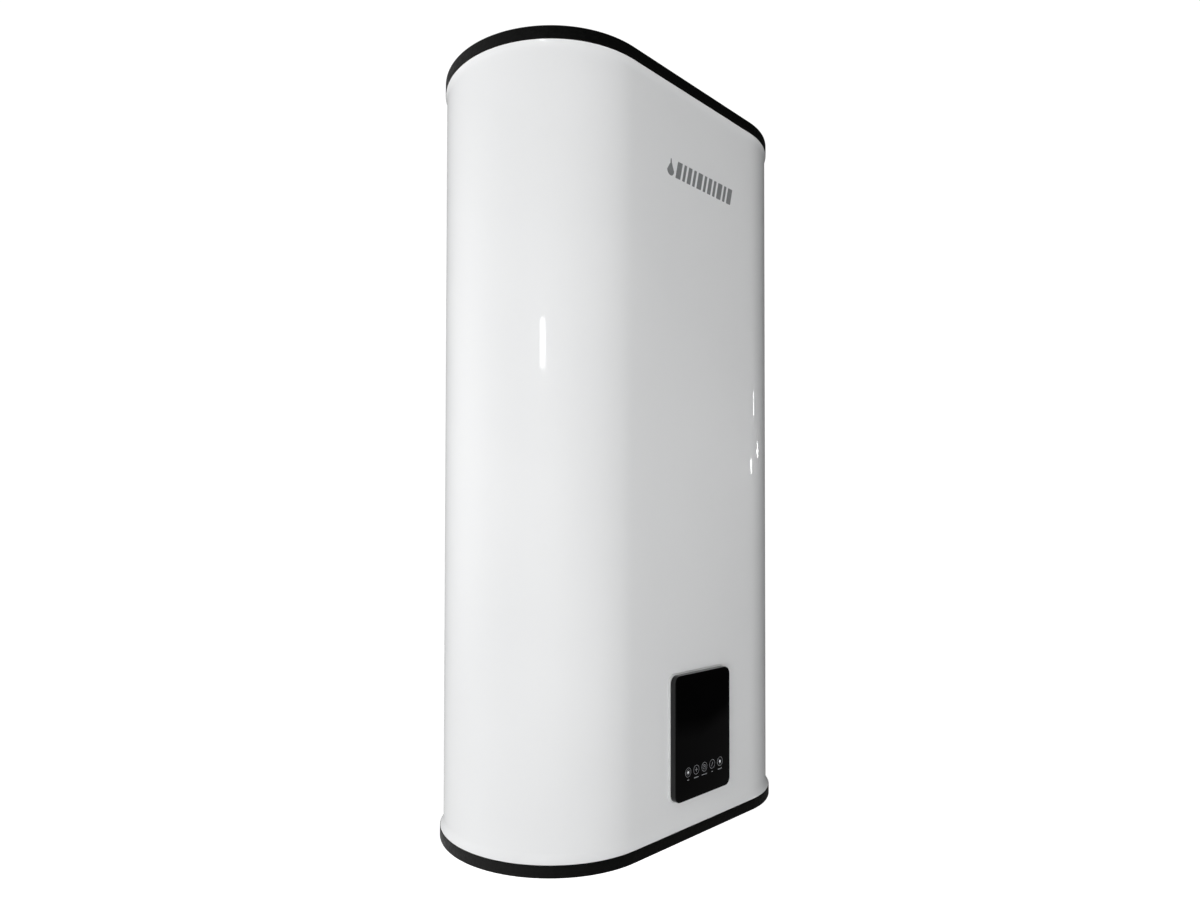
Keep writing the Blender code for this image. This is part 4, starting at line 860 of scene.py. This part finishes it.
def make_bolt(x, z):
    """A hexagon head, turned off at its corners and dished, on a plain shank."""
    bpy.ops.object.select_all(action="DESELECT")
    bpy.ops.mesh.primitive_cylinder_add(
        vertices=6, radius=0.0075, depth=HEAD_FACE - HEAD_BACK,
        location=(x, (HEAD_BACK + HEAD_FACE) / 2, z), rotation=(math.pi / 2, 0, 0),
    )
    head = bpy.context.active_object
    bpy.ops.object.transform_apply(location=True, rotation=True, scale=True)
    cone = turned([(0, HEAD_BACK - 0.001), (0.0080, HEAD_BACK - 0.001),
                   (0.0080, HEAD_FACE - 0.0012), (0.0062, HEAD_FACE), (0, HEAD_FACE)],
                  (x, 0, z), "Y", 48)
    cut(head, cone, operation="INTERSECT")
    dish = turned([(0, HEAD_FACE - 0.0004), (0.0030, HEAD_FACE - 0.0004),
                   (0.0036, HEAD_FACE + 0.0002), (0, HEAD_FACE + 0.0002)], (x, 0, z), "Y", 32)
    cut(head, dish)
    shank = turned([(0, SHANK_END), (0.0024, SHANK_END), (SHANK_ROUND, SHANK_END + 0.0009),
                    (SHANK_ROUND, HEAD_BACK + 0.001), (0, HEAD_BACK + 0.001)],
                   (x, 0, z), "Y", 24)
    cut(head, shank, operation="UNION")
    return head


for level, middle in HANGERS:
    for side, x in (("left", -BOLT_X), ("right", BOLT_X)):
        finish_piece(make_bolt(x, middle), f"{level}_bolt_{side}", zinc, "zinc_steel",
                     f"{level}_bracket_bolt_{side}")


# ---- Control panel --------------------------------------------------------------------------
# A thin pale grey rim of plastic lies on the jacket, and a hollow block of gloss black acrylic
# stands on it with rounded corners. Behind it are the light guide and the display board.
LENS_LEFT, LENS_RIGHT, LENS_LOW, LENS_HIGH = -0.0495, 0.0530, -0.6132, -0.4732
LENS_FACE, LENS_BACK, LENS_CORNER, LENS_EDGE = -0.27394, -0.2666, 0.009, 0.0018
LENS_WALL, LENS_SKIN = 0.0065, 0.0024       # thickness of its sides and of its face
RIM_LEFT, RIM_RIGHT, RIM_LOW, RIM_HIGH = -0.0509, 0.0544, -0.6146, -0.4718
RIM_FACE, RIM_BACK, RIM_CORNER, RIM_EDGE = -0.2663, -0.26405, 0.0102, 0.0010

white_plastic = new_finish("white_rim_plastic", Specular_IOR_Level=0.5)
colour_by(white_plastic, noise(white_plastic, 0.02), (0.60, 0.61, 0.61), (0.66, 0.67, 0.67))
rough_by(white_plastic, noise(white_plastic, 0.003), 0.30, 0.42)
raise_by(white_plastic, noise(white_plastic, 0.0008, 2), 0.00001)
paint(white_plastic, "inlet_diffuser", "touch_light_guide")


def round_face(piece, face, radius, segments):
    """Rounds the edges of a piece's front face and leaves the mesh open."""
    open_mesh(piece)
    pick("EDGE", lambda edge: all(corner.co.y < face + 1e-6 for corner in edge.verts))
    bpy.ops.mesh.bevel(offset=radius, segments=segments, affect="EDGES")


rim = block((RIM_LEFT, RIM_FACE, RIM_LOW), (RIM_RIGHT, RIM_BACK, RIM_HIGH))
round_uprights(rim, RIM_CORNER, 12)
round_face(rim, RIM_FACE, RIM_EDGE, 4)
close_mesh()
cut(rim, box_window(RIM_FACE - 0.01, RIM_BACK + 0.01))
finish_piece(rim, "panel_rim", white_plastic, "white_plastic", "panel_bezel", crease=40)

black_gloss = new_finish(
    "gloss_black_acrylic", Coat_Weight=1.0, Coat_Roughness=0.015, Coat_IOR=1.49,
    Specular_IOR_Level=0.0,
)
colour_by(
    black_gloss, noise(black_gloss, 0.03), (0.00035, 0.00035, 0.00040), (0.0007, 0.0007, 0.0008)
)
rough_by(black_gloss, noise(black_gloss, 0.02, 4), 0.08, 0.16)
raise_by(black_gloss, noise(black_gloss, 0.05, 1), 0.00002)

acrylic = block((LENS_LEFT, LENS_FACE, LENS_LOW), (LENS_RIGHT, LENS_BACK, LENS_HIGH))
round_uprights(acrylic, LENS_CORNER, 12)
round_face(acrylic, LENS_FACE, LENS_EDGE, 6)
pick("FACE", lambda face: middle_of(face).y > LENS_BACK - 1e-5 and len(face.verts) > 8)
bpy.ops.mesh.inset(thickness=LENS_WALL)
bpy.ops.mesh.extrude_region_move(
    TRANSFORM_OT_translate={"value": (0, LENS_FACE + LENS_SKIN - LENS_BACK, 0)}
)
tidy_shell()
finish_piece(acrylic, "panel_acrylic", black_gloss, "gloss_black_lens", "panel_lens", crease=40)


# ---- Touch keys -----------------------------------------------------------------------------
# Five touch keys are printed on the acrylic in thin grey ink: a ring round a plain sign each,
# with a short dash beneath. The first and the last glow a little in the middle.
KEY_MIDDLE, KEY_PITCH, KEY_HEIGHT = 0.0022, 0.015, -0.582
KEY_ROUND, INK_WIDE = 0.00525, 0.00042
INK_FACE, INK_BACK = -0.2740, LENS_FACE
DASHES = (0.0035, 0.0090, 0.0100, 0.0025, 0.0080)
DASH_DROP, DASH_TALL = 0.0085, 0.0009

ink = new_finish("grey_ink", Specular_IOR_Level=0.3)
colour_by(ink, noise(ink, 0.0015, 3), (0.22, 0.23, 0.24), (0.34, 0.35, 0.36))
rough_by(ink, noise(ink, 0.002), 0.45, 0.60)
raise_by(ink, noise(ink, 0.0005, 2), 0.000005)


def ink_ring(x, z, radius, wide=INK_WIDE):
    return turned([(radius - wide, INK_BACK), (radius, INK_BACK), (radius, INK_FACE),
                   (radius - wide, INK_FACE)], (x, 0, z), "Y", 48, closed=True)


def ink_bar(x, z, long, wide, lean=0.0):
    """A short bar, leaning by lean radians from level."""
    bar = block((x - long / 2, INK_FACE, z - wide / 2), (x + long / 2, INK_BACK, z + wide / 2))
    round_uprights(bar, wide * 0.4, 3)
    open_mesh(bar)
    bpy.ops.transform.rotate(value=lean, orient_axis="Y", center_override=(x, INK_FACE, z))
    close_mesh()
    return bar


lit_ink = new_finish("lit_ink", Emission_Strength=0.10, Emission_Color=(0.8, 0.85, 0.9, 1))
colour_by(lit_ink, noise(lit_ink, 0.001, 3), (0.62, 0.64, 0.66), (0.78, 0.80, 0.82))
rough_by(lit_ink, noise(lit_ink, 0.002), 0.40, 0.55)
raise_by(lit_ink, noise(lit_ink, 0.0005, 2), 0.000005)


def key_signs(number, x, z):
    """The sign in a key: a small ring, a cross, a clock, a slanted bar, or a low stroke."""
    if number == 0:
        return [ink_ring(x, z, 0.0030, 0.0003)]
    if number == 1:
        return [ink_bar(x, z, 0.0050, 0.0006), ink_bar(x, z, 0.0050, 0.0006, math.pi / 2)]
    if number == 2:
        return [
            ink_ring(x, z, 0.0028, 0.0004),
            ink_bar(x, z + 0.0009, 0.0020, 0.0004, math.pi / 2),
            ink_bar(x + 0.0007, z - 0.0002, 0.0016, 0.0004),
        ]
    if number == 3:
        return [ink_bar(x, z, 0.0052, 0.0007, 1.1)]
    return [ink_bar(x, z - 0.0024, 0.0050, 0.0004, 0.5)]


for number in range(5):
    x = KEY_MIDDLE + (number - 2) * KEY_PITCH
    signs = [ink_ring(x, KEY_HEIGHT, KEY_ROUND), *key_signs(number, x, KEY_HEIGHT)]
    signs.append(ink_bar(x, KEY_HEIGHT - DASH_DROP, DASHES[number], DASH_TALL))
    finish_piece(join_up(signs), f"touch_key_{number + 1}", ink, "white_plastic")
    if number in (0, 4):
        dot = plug(0.0015, INK_BACK, INK_FACE, (x, 0, KEY_HEIGHT), "Y")
        finish_piece(dot, f"key_light_{number + 1}", lit_ink, "white_plastic")


# ---- Front mark -----------------------------------------------------------------------------
# A plain grey mark is printed high on the front: a drop and a row of slanted bars, which name
# nobody. It is one thin layer of ink.
MARK_X, MARK_Z, MARK_TALL = 0.009, 0.097, 0.020
MARK_LEFT = -0.0615             # the drop's left side, from the mark's middle
MARK_LOW, MARK_FACE = MARK_Z - MARK_TALL / 2, FRONT - 0.00015
MARK_SLANT = 0.005
BAR_START = 0.0145              # the first bar's left side, from the drop's
BAR_WIDTHS = (0.0085, 0.0045, 0.0065, 0.0045) * 2 + (0.0085, 0.0045, 0.0085)
BAR_GAP = 0.0037
DROP_ROUND, DROP_TAPER, DROP_RISE = 0.0060, 0.66, 0.0020

mark_ink = new_finish("grey_mark_ink", Specular_IOR_Level=0.4)
colour_by(mark_ink, noise(mark_ink, 0.004, 3), (0.205, 0.212, 0.215), (0.245, 0.252, 0.255))
rough_by(mark_ink, noise(mark_ink, 0.003), 0.38, 0.50)
raise_by(mark_ink, noise(mark_ink, 0.0008, 2), 0.00001)


def slanted_bar(x, wide):
    """A flat bar whose top is shifted to the right."""
    bar = block((x - wide / 2, MARK_FACE, MARK_LOW), (x + wide / 2, FRONT, MARK_LOW + MARK_TALL))
    open_mesh(bar)
    pick("VERT", lambda corner: corner.co.z > MARK_Z)
    bpy.ops.transform.translate(value=(MARK_SLANT, 0, 0))
    close_mesh()
    round_uprights(bar, 0.0006, 2)
    return bar


marks = []
edge = MARK_X + MARK_LEFT + BAR_START
for wide in BAR_WIDTHS:
    marks.append(slanted_bar(edge + wide / 2, wide))
    edge += wide + BAR_GAP

# a round dot whose upper part is drawn up and in, step by step, becomes a drop
drop_x, drop_z = MARK_X + MARK_LEFT + DROP_ROUND, MARK_LOW + DROP_ROUND
drop = plug(DROP_ROUND, FRONT, MARK_FACE, (drop_x, 0, drop_z), "Y", 48)
open_mesh(drop)
for share in (0.10, 0.45, 0.75, 0.95):
    pick("VERT", lambda corner: corner.co.z > drop_z + DROP_ROUND * share)
    bpy.ops.transform.resize(value=(DROP_TAPER, 1, 1), center_override=(drop_x, FRONT, drop_z))
    bpy.ops.transform.translate(value=(0.0004, 0, DROP_RISE))
close_mesh()
finish_piece(join_up([drop] + marks), "front_mark", mark_ink, "grey_plastic")
